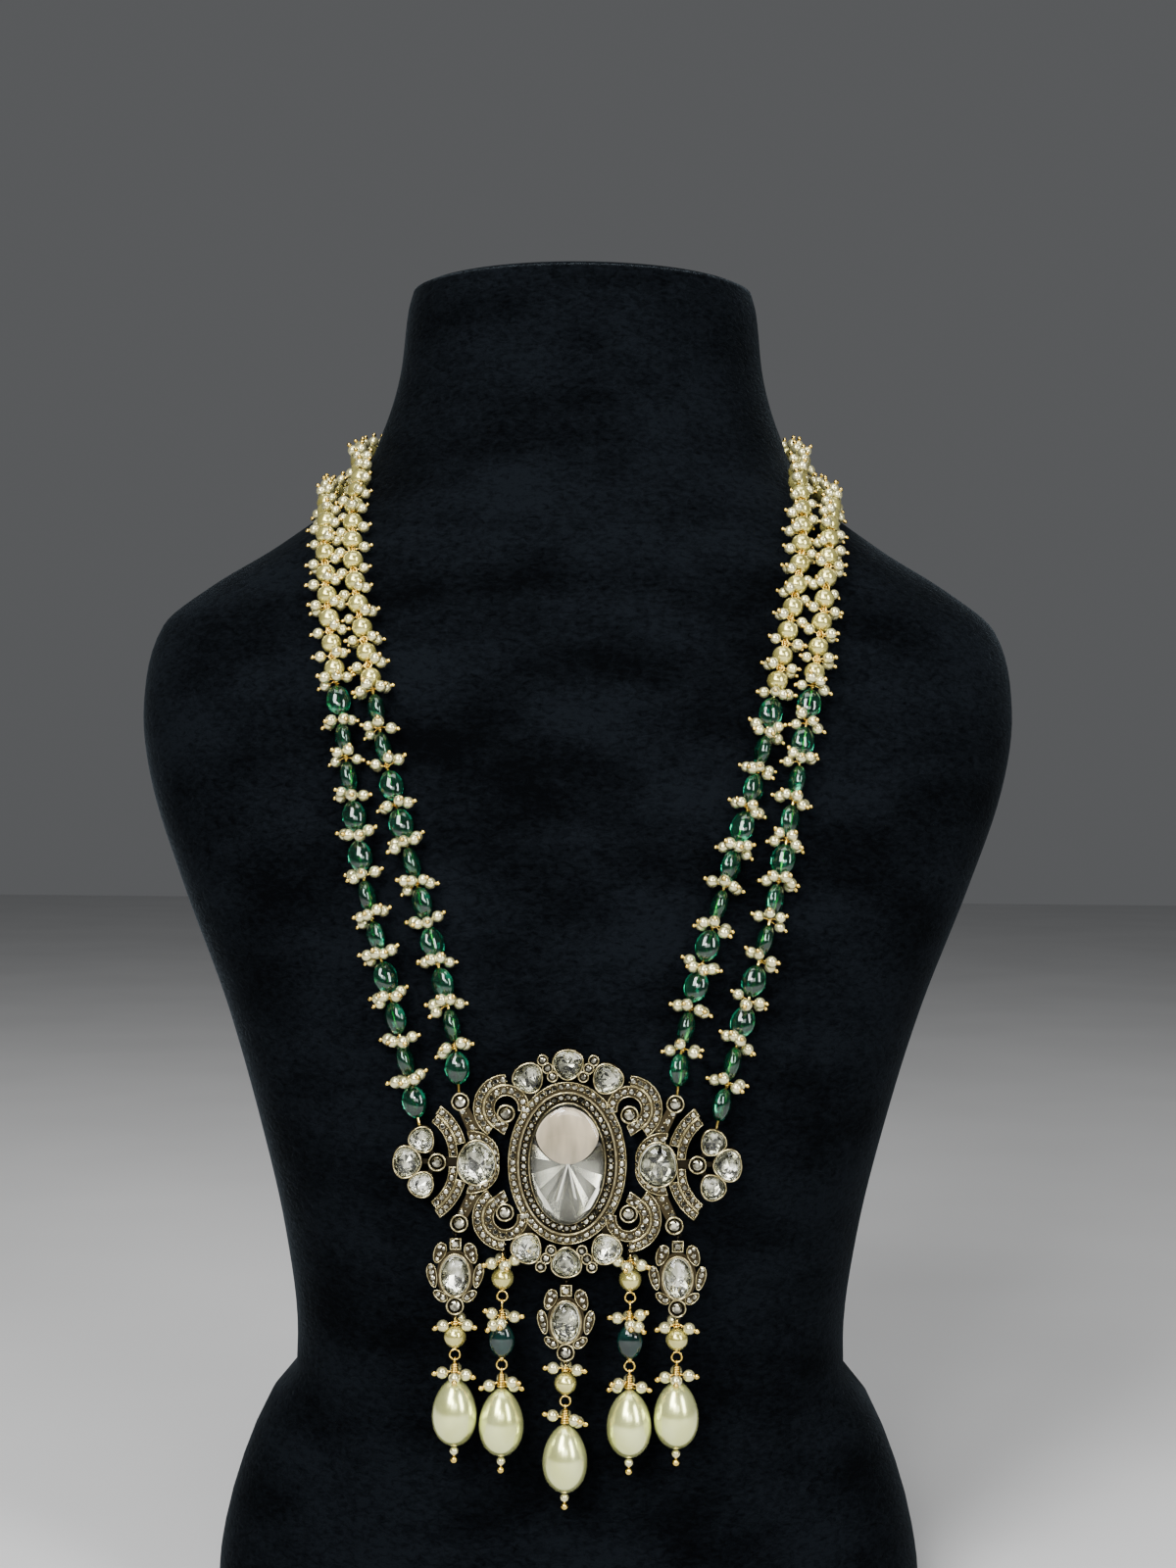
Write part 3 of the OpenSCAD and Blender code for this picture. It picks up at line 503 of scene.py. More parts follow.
# %% Tree helpers
class Tree:
    """Builds one Geometry Nodes tree with named inputs."""

    def __init__(self, name, **inputs):
        self.group = bpy.data.node_groups.new(name, "GeometryNodeTree")
        self.group.is_modifier = True
        for label, kind in {"Geometry": "Geometry", **inputs, "Material": "Material"}.items():
            self.group.interface.new_socket(label, in_out="INPUT", socket_type="NodeSocket" + kind)
        self.group.interface.new_socket("Geometry", in_out="OUTPUT", socket_type="NodeSocketGeometry")
        self.given = self.group.nodes.new("NodeGroupInput").outputs
        self.end = self.group.nodes.new("NodeGroupOutput")

    def add(self, kind, settings=(), **inputs):
        return node(self.group, kind, settings, **inputs)

    def attribute(self, name, kind):
        made = self.add("GeometryNodeInputNamedAttribute", {"data_type": kind}, Name=name)
        return made.outputs["Attribute"]

    def math(self, operation, *values):
        made = self.add("ShaderNodeMath", {"operation": operation})
        for socket, value in zip(made.inputs, values):
            put(self.group, socket, value)
        return made.outputs["Value"]

    def random(self, low, high):
        """A random number for each point, between two sockets or numbers."""
        made = self.add("FunctionNodeRandomValue", {"data_type": "FLOAT"}, Seed=self.given["Seed"])
        floats = [s for s in made.inputs if s.type == "VALUE" and s.enabled]
        for socket, value in zip(floats, (low, high)):
            put(self.group, socket, value)
        return next(s for s in made.outputs if s.enabled)

    def facing(self, aim, side):
        """The rotation with Z along aim, and with X as near to side as that allows."""
        kind = "FunctionNodeAlignRotationToVector"
        aimed = self.add(kind, {"axis": "Z"}, Vector=aim).outputs["Rotation"]
        sided = self.add(kind, {"axis": "X", "pivot_axis": "Z"}, Rotation=aimed, Vector=side)
        return sided.outputs["Rotation"]

    def spun(self, rotation, axis, angle):
        """A rotation followed by a turn round its own axis."""
        spin = self.add("FunctionNodeAxisAngleToRotation", Axis=axis, Angle=angle).outputs["Rotation"]
        kind, settings = "FunctionNodeRotateRotation", {"rotation_space": "LOCAL"}
        return self.add(kind, settings, Rotation=rotation, Rotate_By=spin).outputs["Rotation"]

    def line(self):
        return self.add("GeometryNodeMeshToCurve", Mesh=self.given["Geometry"]).outputs["Curve"]

    def placed(self, points, rotation, scale):
        """Puts the given shape at each point, and closes the tree."""
        shape = self.add("GeometryNodeObjectInfo", Object=self.given["Shape"]).outputs["Geometry"]
        made = self.add(
            "GeometryNodeInstanceOnPoints", Points=points, Instance=shape, Rotation=rotation, Scale=scale
        )
        return self.close(made.outputs["Instances"])

    def close(self, geometry):
        """Realize Instances, Set Material, and the output."""
        real = self.add("GeometryNodeRealizeInstances", Geometry=geometry).outputs["Geometry"]
        painted = self.add("GeometryNodeSetMaterial", Geometry=real, Material=self.given["Material"])
        put(self.group, self.end.inputs["Geometry"], painted.outputs["Geometry"])
        return self.group


def grown(name, guide, group, slot, replaced=(), **settings):
    """Runs a tree on a guide, keeps the result as a plain mesh, and finishes it as a piece."""
    modifier = guide.modifiers.new("grow", "NODES")
    modifier.node_group = group
    for item in group.interface.items_tree:
        if item.in_out == "INPUT" and item.name in settings:
            modifier[item.identifier] = settings[item.name]
    depsgraph = bpy.context.evaluated_depsgraph_get()
    mesh = bpy.data.meshes.new_from_object(guide.evaluated_get(depsgraph), depsgraph=depsgraph)
    guide.modifiers.remove(modifier)
    bpy.data.objects.remove(guide)
    mesh.name = name
    for attribute in list(mesh.attributes):
        if attribute.name in ("aim", "side", "size"):
            mesh.attributes.remove(attribute)
    finish_piece(linked(name, mesh), None, replaced)


print("tree helpers ready")


# %% The tree that puts shapes at points
def shapes_at_points():
    tree = Tree("shapes_at_points", Shape="Object", Spread="Float", Turn="Float", Seed="Int")
    facing = tree.facing(tree.attribute("aim", "FLOAT_VECTOR"), tree.attribute("side", "FLOAT_VECTOR"))
    turn = tree.given["Turn"]
    roll = tree.random(tree.math("MULTIPLY", turn, -1.0), turn)
    less = tree.math("SUBTRACT", 1.0, tree.random(0.0, tree.given["Spread"]))
    own = tree.math("MULTIPLY", less, tree.attribute("size", "FLOAT"))
    return tree.placed(tree.given["Geometry"], tree.spun(facing, (0, 0, 1), roll), own)


at_points = shapes_at_points()


def put_shapes(name, places, shape, material, slot, replaced=(), spread=0.0, turn=0.0, seed=1):
    """A piece with a shape at each of the (place in mm, aim, side, size) rows."""
    guide = linked(name + "_places", new_mesh(name + "_places", [row[0] for row in places]))
    for column, label in ((1, "aim"), (2, "side")):
        ways = guide.data.attributes.new(label, "FLOAT_VECTOR", "POINT")
        ways.data.foreach_set("vector", np.array([row[column] for row in places], float).ravel())
    sizes = guide.data.attributes.new("size", "FLOAT", "POINT")
    sizes.data.foreach_set("value", [float(row[3]) for row in places])
    settings = {"Shape": shape, "Spread": spread, "Turn": turn, "Seed": seed, "Material": material}
    grown(name, guide, at_points, slot, replaced, **settings)


print("tree:", at_points.name)

# %% The tree that spaces shapes along lines, and the one that sweeps a wire
def shapes_on_lines():
    tree = Tree("shapes_on_lines", Shape="Object", Spacing="Float", Turn="Float", Tilt="Float", Seed="Int")
    spacing = tree.given["Spacing"]
    even = tree.add("GeometryNodeResampleCurve", {"mode": "LENGTH"}, Curve=tree.line(), Length=spacing)
    facing = tree.facing((0, -1, 0), tree.add("GeometryNodeInputTangent").outputs["Tangent"])
    rolled = tree.spun(facing, (0, 0, 1), tree.random(0.0, tree.given["Turn"]))
    tilted = tree.spun(rolled, (1, 0, 0), tree.random(0.0, tree.given["Tilt"]))
    return tree.placed(even.outputs["Curve"], tilted, (1, 1, 1))


def wire_on_lines():
    tree = Tree("wire_on_lines", Radius="Float", Sides="Int")
    radius, sides = tree.given["Radius"], tree.given["Sides"]
    profile = tree.add("GeometryNodeCurvePrimitiveCircle", Radius=radius, Resolution=sides).outputs["Curve"]
    swept = tree.add("GeometryNodeCurveToMesh", Curve=tree.line(), Profile_Curve=profile, Fill_Caps=True)
    smooth = tree.add("GeometryNodeSetShadeSmooth", Geometry=swept.outputs["Mesh"])
    return tree.close(smooth.outputs["Geometry"])


on_lines, wire_lines = shapes_on_lines(), wire_on_lines()


def lines_guide(name, lines):
    """Guide of polylines from (points in mm, closed) rows."""
    vertices, edges = [], []
    for points, closed in lines:
        first = len(vertices)
        vertices += points
        edges += [(first + i, first + i + 1) for i in range(len(points) - 1)]
        if closed:
            edges.append((len(vertices) - 1, first))
    return linked(name + "_lines", new_mesh(name + "_lines", vertices, edges))


def space_shapes(name, lines, shape, spacing, material, slot, turn=0.0, tilt=0.0, seed=1):
    settings = {"Shape": shape, "Spacing": spacing * MM, "Turn": turn, "Tilt": tilt, "Seed": seed}
    grown(name, lines_guide(name, lines), on_lines, slot, Material=material, **settings)


def sweep_wire(name, lines, radius, material, sides=8):
    settings = {"Radius": radius * MM, "Sides": sides, "Material": material}
    grown(name, lines_guide(name, lines), wire_lines, "gold", **settings)


print("trees:", on_lines.name, wire_lines.name)

# %% [markdown]
# ## The bust
#
# The bust is a padded form under stretched velvet. The CAD has the same sections with fewer
# steps, so this skin repeats them closely spaced. A smooth curve through the section table gives
# the width, front and back at any height.

# %% Bust sections
BUST_H = list(box_in_mm("bust"))[1][2]
CHEST_D, HALF_SHOULDER, HALF_WAIST, HALF_NECK, HALF_FOOT = 124.0, 130.5, 79.5, 54.5, 102.0
PEARL_R, SKIN_GAP, BACK_GAP, PLATE_T, PEAR_W = 3.0, 0.7, 0.3, 1.6, 12.0
# Middle of the whole depth, from the front of the pear pearls to the back of the nape's pearls.
CHEST_MIDDLE = (0.737 - 0.5) / 2
MID_Y = CHEST_MIDDLE * CHEST_D + (SKIN_GAP + 2 * PEARL_R - BACK_GAP - PLATE_T / 2 - PEAR_W / 2) / 2
# The CAD's own sections, in groups that share a half width. Columns: height as a share of the
# bust's, share of the half width, front and back as shares of the chest's depth, squareness.
TORSO = [
    (HALF_WAIST, [
        (0.000, 1.05, -0.455, 0.468, 2.6), (0.063, 1.045, -0.45, 0.468, 2.6), (0.203, 1, -0.44, 0.468, 2.5),
        (0.282, 1.046, -0.476, 0.476, 2.4), (0.363, 1.141, -0.5, 0.492, 2.4),
    ]),
    (HALF_SHOULDER, [
        (0.447, 0.778, -0.472, 0.516, 2.3), (0.533, 0.886, -0.419, 0.548, 2.3),
        (0.607, 0.97, -0.355, 0.589, 2.3), (0.668, 1, -0.294, 0.621, 2.3),
        (0.728, 0.968, -0.226, 0.661, 2.25), (0.759, 0.862, -0.185, 0.677, 2.2),
        (0.792, 0.709, -0.145, 0.702, 2.15), (0.838, 0.541, -0.081, 0.726, 2.1),
    ]),
    (HALF_NECK, [
        (0.885, 1.138, -0.036, 0.742, 2), (0.929, 1.045, -0.02, 0.75, 2), (0.982, 1, -0.016, 0.758, 2),
        (1.000, 0.965, -0.006, 0.742, 2),
    ]),
]
FOOT = [
    (HALF_FOOT, [
        (0.000, 1, -0.42, 0.54, 2.4), (0.046, 0.994, -0.42, 0.54, 2.4), (0.102, 0.945, -0.41, 0.53, 2.4),
        (0.157, 0.856, -0.39, 0.5, 2.4), (0.183, 0.769, -0.37, 0.47, 2.4), (0.203, 0.653, -0.33, 0.4, 2.4),
    ]),
]


def table_in_mm(groups):
    """One table of all groups: height, half width, front and back in mm, and squareness."""
    return np.array([
        (h * BUST_H, half * w, f * CHEST_D - MID_Y, b * CHEST_D - MID_Y, e)
        for half, rows in groups for h, w, f, b, e in rows
    ])


torso_rows, foot_rows = table_in_mm(TORSO), table_in_mm(FOOT)


def section(rows, z):
    """Hermite curve through the rows of a table at height z."""
    i = int(np.clip(np.searchsorted(rows[:, 0], z, side="right") - 1, 0, len(rows) - 2))
    d = rows[i + 1][0] - rows[i][0]
    u = (z - rows[i][0]) / d

    def slope(k):
        lo, hi = max(k - 1, 0), min(k + 1, len(rows) - 1)
        return (rows[hi] - rows[lo]) / (rows[hi][0] - rows[lo][0])

    return (
        rows[i] * (2 * u**3 - 3 * u**2 + 1) + slope(i) * d * (u**3 - 2 * u**2 + u)
        + rows[i + 1] * (3 * u**2 - 2 * u**3) + slope(i + 1) * d * (u**3 - u**2)
    )


def reach(s, a, y0):
    """Distance from the middle of a section to its outline, at angle a."""
    depth = y0 - s[2] if math.cos(a) >= 0 else s[3] - y0
    return (abs(math.sin(a) / s[1]) ** s[4] + abs(math.cos(a) / depth) ** s[4]) ** (-1 / s[4])


def bust_ring(z, sides):
    """Outline at height z: the torso's, or the foot's where that reaches farther."""
    s = section(torso_rows, z)
    y0 = (s[2] + s[3]) / 2
    foot = section(foot_rows, z) if z <= foot_rows[-1][0] else s
    ring = []
    for a in angles_round(sides):
        r = max(reach(s, a, y0), reach(foot, a, y0))
        ring.append((r * math.sin(a), y0 - r * math.cos(a), z))
    return ring


print("bust", BUST_H, "mm tall")

# %% Bust skin
# The top edge is rolled over a small radius to a flat lid, which is slightly sunk. The lid's rows
# are its size as a share of the top, and how deep it lies.
EDGE_ROLL, LID_SINK = 3.0, 1.0
LID = [(0.9, 0.0), (0.86, 0.8), (0.6, LID_SINK), (0.3, LID_SINK)]


def bust_skin(sides=180, steps=6):
    levels = torso_rows[:, 0]
    heights = [z0 + (z1 - z0) * j / steps for z0, z1 in zip(levels, levels[1:]) for j in range(steps)]
    rings = [bust_ring(z, sides) for z in heights]
    top = np.array(bust_ring(BUST_H, sides))
    heart = top.mean(0)
    flat = top - heart
    far = np.linalg.norm(flat[:, :2], axis=1)[:, None]
    for a in np.radians((0, 20, 45, 70, 90)):
        ring = heart + flat * (1 - EDGE_ROLL * (1 - math.cos(a)) / far)
        ring[:, 2] = BUST_H - EDGE_ROLL * (1 - math.sin(a))
        rings.append(ring)
    for share, sink in LID:
        ring = heart + flat * share
        ring[:, 2] = BUST_H - sink
        rings.append(ring)
    vertices = [tuple(p) for ring in rings for p in ring]
    lid, floor = len(vertices), len(vertices) + 1
    foot_y = (rings[0][0][1] + rings[0][sides // 2][1]) / 2
    vertices += [(heart[0], heart[1], BUST_H - LID_SINK), (0, foot_y, 0)]
    faces = bands(len(rings), sides) + fan(lid, lid - sides, sides) + flipped(fan(floor, 0, sides))
    return mesh_object("velvet_bust", vertices, faces)


finish_piece(outward(bust_skin()), velvet_finish, ["bust"])

# %% [markdown]
# ## Pearls and beads of the strands
#
# Each bead of a strand takes its place and direction from its CAD solid. The shapes are turned on
# a lathe, with the drilled hole left open for the thread.

# %% Bead shapes
BORE_R, GREEN_L, GREEN_W, GREEN_T = 0.45, 9.3, 6.6, 4.6
# How uneven the green beads are along their length.
GREEN_WAVE, GREEN_TURN = 0.05, 2.2


def drilled_ball(radius, bore, segments, rings):
    """Outside from one mouth of the bore to the other, closed by the wall of the bore."""
    a0 = math.asin(bore / radius)
    profile = [
        (radius * math.sin(a), -radius * math.cos(a))
        for a in (a0 + (math.pi - 2 * a0) * i / rings for i in range(rings + 1))
    ]
    return revolve(profile, segments)


shapes = []


def hidden_shape(name, vertices, faces, smooth=True):
    """A shape that the trees repeat; it is removed at the end."""
    shapes.append(outward(mesh_object(name, vertices, faces, smooth)))
    return shapes[-1]


pearl_shape = hidden_shape("pearl_shape", *drilled_ball(PEARL_R, BORE_R, 24, 12))
oval_v, oval_f = drilled_ball(1, BORE_R * 2 / GREEN_L, 20, 12)
oval_v = [
    (x * GREEN_W / 2 * (1 + GREEN_WAVE * math.cos(GREEN_TURN * z)), y * GREEN_T / 2, z * GREEN_L / 2)
    for x, y, z in oval_v
]
green_shape = hidden_shape("green_bead_shape", oval_v, oval_f)
print("bead shapes ready")


# %% Read the strands
def strand(side, row):
    """Beads in order and the number of greens; a bead is [centre, along, side, half length]."""
    greens = solids_of(f"{side}_{row}_green_beads")
    green_mid = [middle(p) for p in greens]
    pearl_mid = [middle(p) for p in solids_of(f"{side}_{row}_pearls")]
    beads = []
    for k in chain(green_mid, (0, pendant_back, 0)):
        _, axes = np.linalg.eigh(np.cov((greens[k] - greens[k].mean(0)).T))
        beads.append([green_mid[k], axes[:, 2], axes[:, 1], GREEN_L / 2])
    for k in chain(pearl_mid, beads[-1][0]):
        beads.append([pearl_mid[k], None, None, PEARL_R])
    for i, bead in enumerate(beads):
        way = beads[min(i + 1, len(beads) - 1)][0] - beads[max(i - 1, 0)][0]
        if bead[1] is None:
            bead[1] = unit(way)
            bead[2] = unit(np.cross(bead[1], (0, 0, 1)))
        elif bead[1].dot(way) < 0:
            bead[1] = -bead[1]
    return beads, len(greens)


strands = {(side, row): strand(side, row) for side in ("left", "right") for row in ("inner", "outer")}
for key, (beads, green_n) in strands.items():
    print(key, green_n, "green beads,", len(beads) - green_n, "pearls")

# %% Dress the strands
for (side, row), (beads, green_n) in strands.items():
    places = [(centre, along, across, 1.0) for centre, along, across, _ in beads]
    name = f"{side}_{row}"
    put_shapes(
        f"{name}_emeralds", places[:green_n], green_shape, bead_finish, "green",
        [f"{name}_green_beads"], spread=0.03, seed=3,
    )
    put_shapes(
        f"{name}_strung_pearls", places[green_n:], pearl_shape, round_pearl_finish, "pearl",
        [f"{name}_pearls"], spread=0.04, turn=3.0, seed=5,
    )

# %% [markdown]
# ## Seed pearl clusters
#
# At every joint between two beads a few seed pearls stand out on short wires, each held by a tiny
# gold ball at its outer end, and the wires are wound round the thread in the gap. One seed pearl
# and one pin are modelled, and the points tree sets them round each joint. The angles come from a
# seeded generator, so the clusters look hand made and are the same on every run.

# %% Cluster shapes
SEED_R, SEED_OUT, BALL_R, DROP_BALL_R = 1.65, 3.5, 0.68, 0.78
COIL_R, COIL_H, COIL_TURNS, COIL_WIRE = 0.6, 1.5, 2.5, 0.19
LINK_R, LINK_WIRE = 1.1, 0.24


def pin(ball_r, ball_faces, bend, wire, sides):
    """A wire that bends a little, with a ball on its end outside the seed pearl."""
    end = ball(ball_r, *ball_faces, (0, 0, SEED_OUT + SEED_R + ball_r * 0.7))
    return joined([end, tube([(0, 0, 0.3), (*bend, 1.1), (0, 0, SEED_OUT - SEED_R + 0.3)], wire, sides)])


seed_shape = hidden_shape("seed_shape", *ball(SEED_R, 12, 8, (0, 0, SEED_OUT)))
pin_shape = hidden_shape("pin_shape", *pin(BALL_R, (8, 6), (0.14, 0.06), 0.2, 5))
drop_pin_shape = hidden_shape("drop_pin_shape", *pin(DROP_BALL_R, (10, 8), (0.2, 0.1), 0.24, 6))
coil_line = moved(helix(COIL_R, COIL_H, COIL_TURNS, 20), (0, 0, -COIL_H / 2))
coil_shape = hidden_shape("coil_shape", *tube(coil_line, COIL_WIRE, 5))
link_shape = hidden_shape("link_shape", *link(LINK_R, LINK_WIRE))
print("seed pearl", len(seed_shape.data.polygons), "faces; pin", len(pin_shape.data.polygons), "faces")


def off_body(p):
    """Direction straight out of the bust at a point beside it."""
    s = section(torso_rows, float(np.clip(p[2], 0, BUST_H)))
    return unit((p[0] / s[1] ** 2, (p[1] - (s[2] + s[3]) / 2) / ((s[3] - s[2]) / 2) ** 2, 0))


def cluster(place, along, out, angles, rng, lean, shift=0.0):
    """Rows for the pins of one cluster: angles in degrees round the joint, 90 is straight out."""
    along = unit(along)
    out = unit(out - along * np.dot(out, along))
    across = np.cross(along, out)
    rows = []
    for angle in angles:
        a = math.radians(angle + rng.uniform(-12, 12))
        way = unit(math.cos(a) * across + math.sin(a) * out + rng.uniform(-lean, lean) * along)
        rows.append((place + along * rng.uniform(-shift, shift), way, along, rng.uniform(0.92, 1.06)))
    return rows


# %% Clusters along the strands
BETWEEN_GREENS = [(-5, 40, 90, 140, 185), (0, 50, 115, 180), (-8, 45, 95, 150, 190), (5, 65, 130, 185)]
BETWEEN_PEARLS = [(-15, 30, 150, 195), (-5, 35, 175), (-10, 148, 190), (0, 42, 165)]
# How far off the joint the two links between pearls stand.
FRONT_LINK, SIDE_LINK = 1.15, 0.5
for (side, row), (beads, green_n) in strands.items():
    rng = random.Random(f"{side}{row}")
    pins, coils, links = [], [], []
    for i, (a, b) in enumerate(zip(beads, beads[1:])):
        way = unit(b[0] - a[0])
        place = (a[0] + way * a[3] + b[0] - way * b[3]) / 2
        out = off_body(place)
        if i < green_n:
            pins += cluster(place, way, out, rng.choice(BETWEEN_GREENS), rng, 0.42, 0.3)
        else:
            pins += cluster(place, way, out, rng.choice(BETWEEN_PEARLS), rng, 0.14)
            links.append((place + out * FRONT_LINK, unit(np.cross(way, np.cross(out, way))), way, 1.0))
            links.append((place + out * SIDE_LINK, np.cross(out, way), way, 0.95))
        coils.append((place, way, unit(np.cross(way, (0, 0, 1))), 1.0))
    name = f"{side}_{row}"
    put_shapes(f"{name}_seed_pearls", pins, seed_shape, seed_pearl_finish, "pearl")
    put_shapes(f"{name}_seed_pins", pins, pin_shape, wire_gold, "wire")
    put_shapes(f"{name}_coils", coils, coil_shape, wire_gold, "wire", turn=3.1, seed=7)
    put_shapes(f"{name}_links", links, link_shape, wire_gold, "wire", turn=0.5, seed=8)

# %% [markdown]
# ## The five drops
#
# The drops end in pear-shaped pearls, the largest on the piece. Their outline is a sine that is
# pulled down, as in the CAD. The round pearls, ovals and tips above and below are the shapes that
# are already made.

# %% Pear pearls
PEAR_H, PEAR_BORE, PEAR_PULL, MOUTH_EDGE = 18.3, 0.4, 0.28, 0.02
TIP_R = 1.2
DROPS = range(1, 6)


def bulge(a):
    return math.sin(a) * math.sin(a / 2) ** PEAR_PULL


def pear_profile(steps=44, fine=720):
    """Closed (radius, height) profile of a pear that hangs down, with its bore."""
    peak = max(bulge(math.pi * i / fine) for i in range(fine + 1))
    angles = [math.pi * i / steps for i in range(steps + 1)]
    outline = [(PEAR_W / 2 * bulge(a) / peak, PEAR_H / 2 * math.cos(a)) for a in angles]
    outside = [(r, h) for r, h in outline if r > PEAR_BORE * 1.05]
    mouths = outside[0][1] + MOUTH_EDGE, outside[-1][1] - MOUTH_EDGE
    return [(PEAR_BORE, mouths[0])] + outside + [(PEAR_BORE, mouths[1])]


pear_v, pear_f = revolve(pear_profile(), 48)
pear_v = np.array(pear_v)
for k in DROPS:
    low, high = box_in_mm(f"drop_pear_{k}")
    stretch = (high[2] - low[2]) / np.ptp(pear_v[:, 2])
    pear = mesh_object(f"pear_{k}", pear_v * (1, 1, stretch) + (low + high) / 2, pear_f)
    finish_piece(outward(pear), pear_pearl_finish, [f"drop_pear_{k}"])

# %% Round pearls, ovals and tips of the drops
UP, FRONT, ACROSS = (0.0, 0.0, 1.0), (0.0, -1.0, 0.0), (1.0, 0.0, 0.0)


def places_of(nodes, side):
    """A row for each solid of the nodes, aimed up."""
    return [(middle(points), UP, side, 1.0) for name in nodes for points in solids_of(name)]


drop_pearls = [f"drop_pearl_{k}" for k in DROPS]
pearl_places = places_of(drop_pearls, FRONT)
put_shapes("drop_round_pearls", pearl_places, pearl_shape, round_pearl_finish, "pearl", drop_pearls)
drop_ovals = ["left_drop_oval_bead", "right_drop_oval_bead"]
oval_places = places_of(drop_ovals, ACROSS)
put_shapes("drop_emeralds", oval_places, green_shape, drop_bead_finish, "green", drop_ovals)
tip_shape = hidden_shape("tip_shape", *drilled_ball(TIP_R, PEAR_BORE, 16, 8))
tip_places = places_of(["tip_pearls"], FRONT)
put_shapes("tip_seed_pearls", tip_places, tip_shape, seed_pearl_finish, "pearl", ["tip_pearls"])

# %% [markdown]
# ## Stones in their settings
#
# Each stone is read from the CAD: the outline of its girdle, and how deep it sits. A crown of
# facets is built over that outline, and under it a foil of uneven facets, so that light comes back
# in patches as from hand-laid foil.

# %% Stone outlines
def outline_of(points):
    """Middle and outline in (x, z) of a stone's solid, with its back and front y."""
    flat = np.unique(np.round(points[:, [0, 2]], 3), axis=0)
    centre = middle(flat)
    # Gift wrapping: the rim is convex, so each next corner is the most clockwise one.
    hull, at = [], int(np.argmin(flat[:, 0]))
    while at not in hull:
        hull.append(at)
        best = (at + 1) % len(flat)
        for k in range(len(flat)):
            a, b = flat[best] - flat[at], flat[k] - flat[at]
            turn = a[0] * b[1] - a[1] * b[0]
            if turn > 1e-9 or (abs(turn) <= 1e-9 and np.linalg.norm(b) > np.linalg.norm(a)):
                best = k
        at = best
    rim = flat[hull]
    angles = np.unwrap(np.arctan2(rim[:, 1] - centre[1], rim[:, 0] - centre[0]))
    if angles[-1] < angles[0]:
        rim = rim[::-1]
    return centre, rim, points[:, 1].max(), points[:, 1].min()


def resampled(rim, count):
    """The closed rim with evenly spaced corners on a smooth curve through the old ones."""
    u = np.linspace(0, 1, 8, endpoint=False)[:, None, None]
    a, b, c, d = (np.roll(rim, k, 0) for k in (1, 0, -1, -2))
    fine = (2 * b + (c - a) * u + (2 * a - 5 * b + 4 * c - d) * u**2 + (3 * b - a - 3 * c + d) * u**3) / 2
    fine = fine.transpose(1, 0, 2).reshape(-1, 2)
    closed = np.vstack([fine, fine[:1]])
    along = np.concatenate([[0], np.cumsum(np.linalg.norm(np.diff(closed, axis=0), axis=1))])
    targets = np.linspace(0, along[-1], count, endpoint=False)
    return np.stack([np.interp(targets, along, closed[:, axis]) for axis in (0, 1)], axis=1)


def scaled(rim, centre, factor):
    return centre + (rim - centre) * factor


def upright(points, y):
    """Points in (x, z) as places at the same y."""
    return [(p[0], y, p[1]) for p in points]


print("the centre stone's outline has", len(outline_of(solids_of("centre_stone")[0])[1]), "corners")


# %% Crown and foil
# Shares of a crown's height: its flat back, its girdle, and the rise of the lower facets, which
# stand in from the rim.
BACK_EDGE, GIRDLE, FACET_RISE, FACET_IN = 0.02, 0.45, 0.33, 0.84
# Foil: its size and its lip's as shares of the rim, how high the lip stands, how far off the middle
# the facets meet, and how far out and how deep each facet has its knee.
FOIL_SIZE, LIP_SIZE, LIP_RISE, OFF_MIDDLE, HEART_DEPTH = 1.015, 1.02, 1.25, 0.16, 0.3
KNEE_OUT, KNEE_DEPTH = (0.42, 0.66), (0.05, 0.95)


def ringed(rings):
    """Rings of equal length, each (points in x z, y), with flat ends."""
    n = len(rings[0][0])
    vertices = [p for points, y in rings for p in upright(points, y)]
    faces = []
    for a, b, c, d in bands(len(rings), n):
        faces += [(a, b, c), (a, c, d)]
    faces.append(tuple(range(n)))
    faces.append(tuple(reversed(range(len(vertices) - n, len(vertices)))))
    return vertices, faces


def crown_of(centre, rim, back, front, table):
    """Glass part: flat back, girdle, two bands of alternate facets and a table."""
    tall = back - front
    girdle = back - tall * GIRDLE
    between = (rim + np.roll(rim, -1, 0)) / 2
    return ringed([
        (rim, back - tall * BACK_EDGE), (rim, girdle),
        (scaled(between, centre, FACET_IN), girdle - tall * FACET_RISE), (scaled(rim, centre, table), front),
    ])


def foil_of(centre, rim, back, depth, rng, corners=9):
    """Foil: uneven facets that meet a little off the middle, with a lip that stands round them."""
    edge = resampled(scaled(rim, centre, FOIL_SIZE), 2 * corners)
    heart = centre
    for corner in (rim[0], rim[4]):
        heart = heart + (corner - centre) * rng.uniform(-OFF_MIDDLE, OFF_MIDDLE)
    vertices = upright(edge, back - depth)
    for corner in edge[1::2]:
        p = centre + (corner - centre) * rng.uniform(*KNEE_OUT)
        vertices.append((p[0], back - depth * rng.uniform(*KNEE_DEPTH), p[1]))
    vertices += upright([heart], back - depth * HEART_DEPTH)
    n, faces, first = 2 * corners, [], len(vertices)
    vertices += upright(scaled(edge, centre, LIP_SIZE), back - depth * LIP_RISE)
    for i in range(corners):
        a, b, c, d, e = 2 * i, 2 * i + 1, (2 * i + 2) % n, n + i, n + (i + 1) % corners
        faces += [(a, b, d), (b, c, d), (c, e, d), (d, e, n + corners)]
    faces += [(first + i, first + (i + 1) % n, (i + 1) % n, i) for i in range(n)]
    return vertices, faces


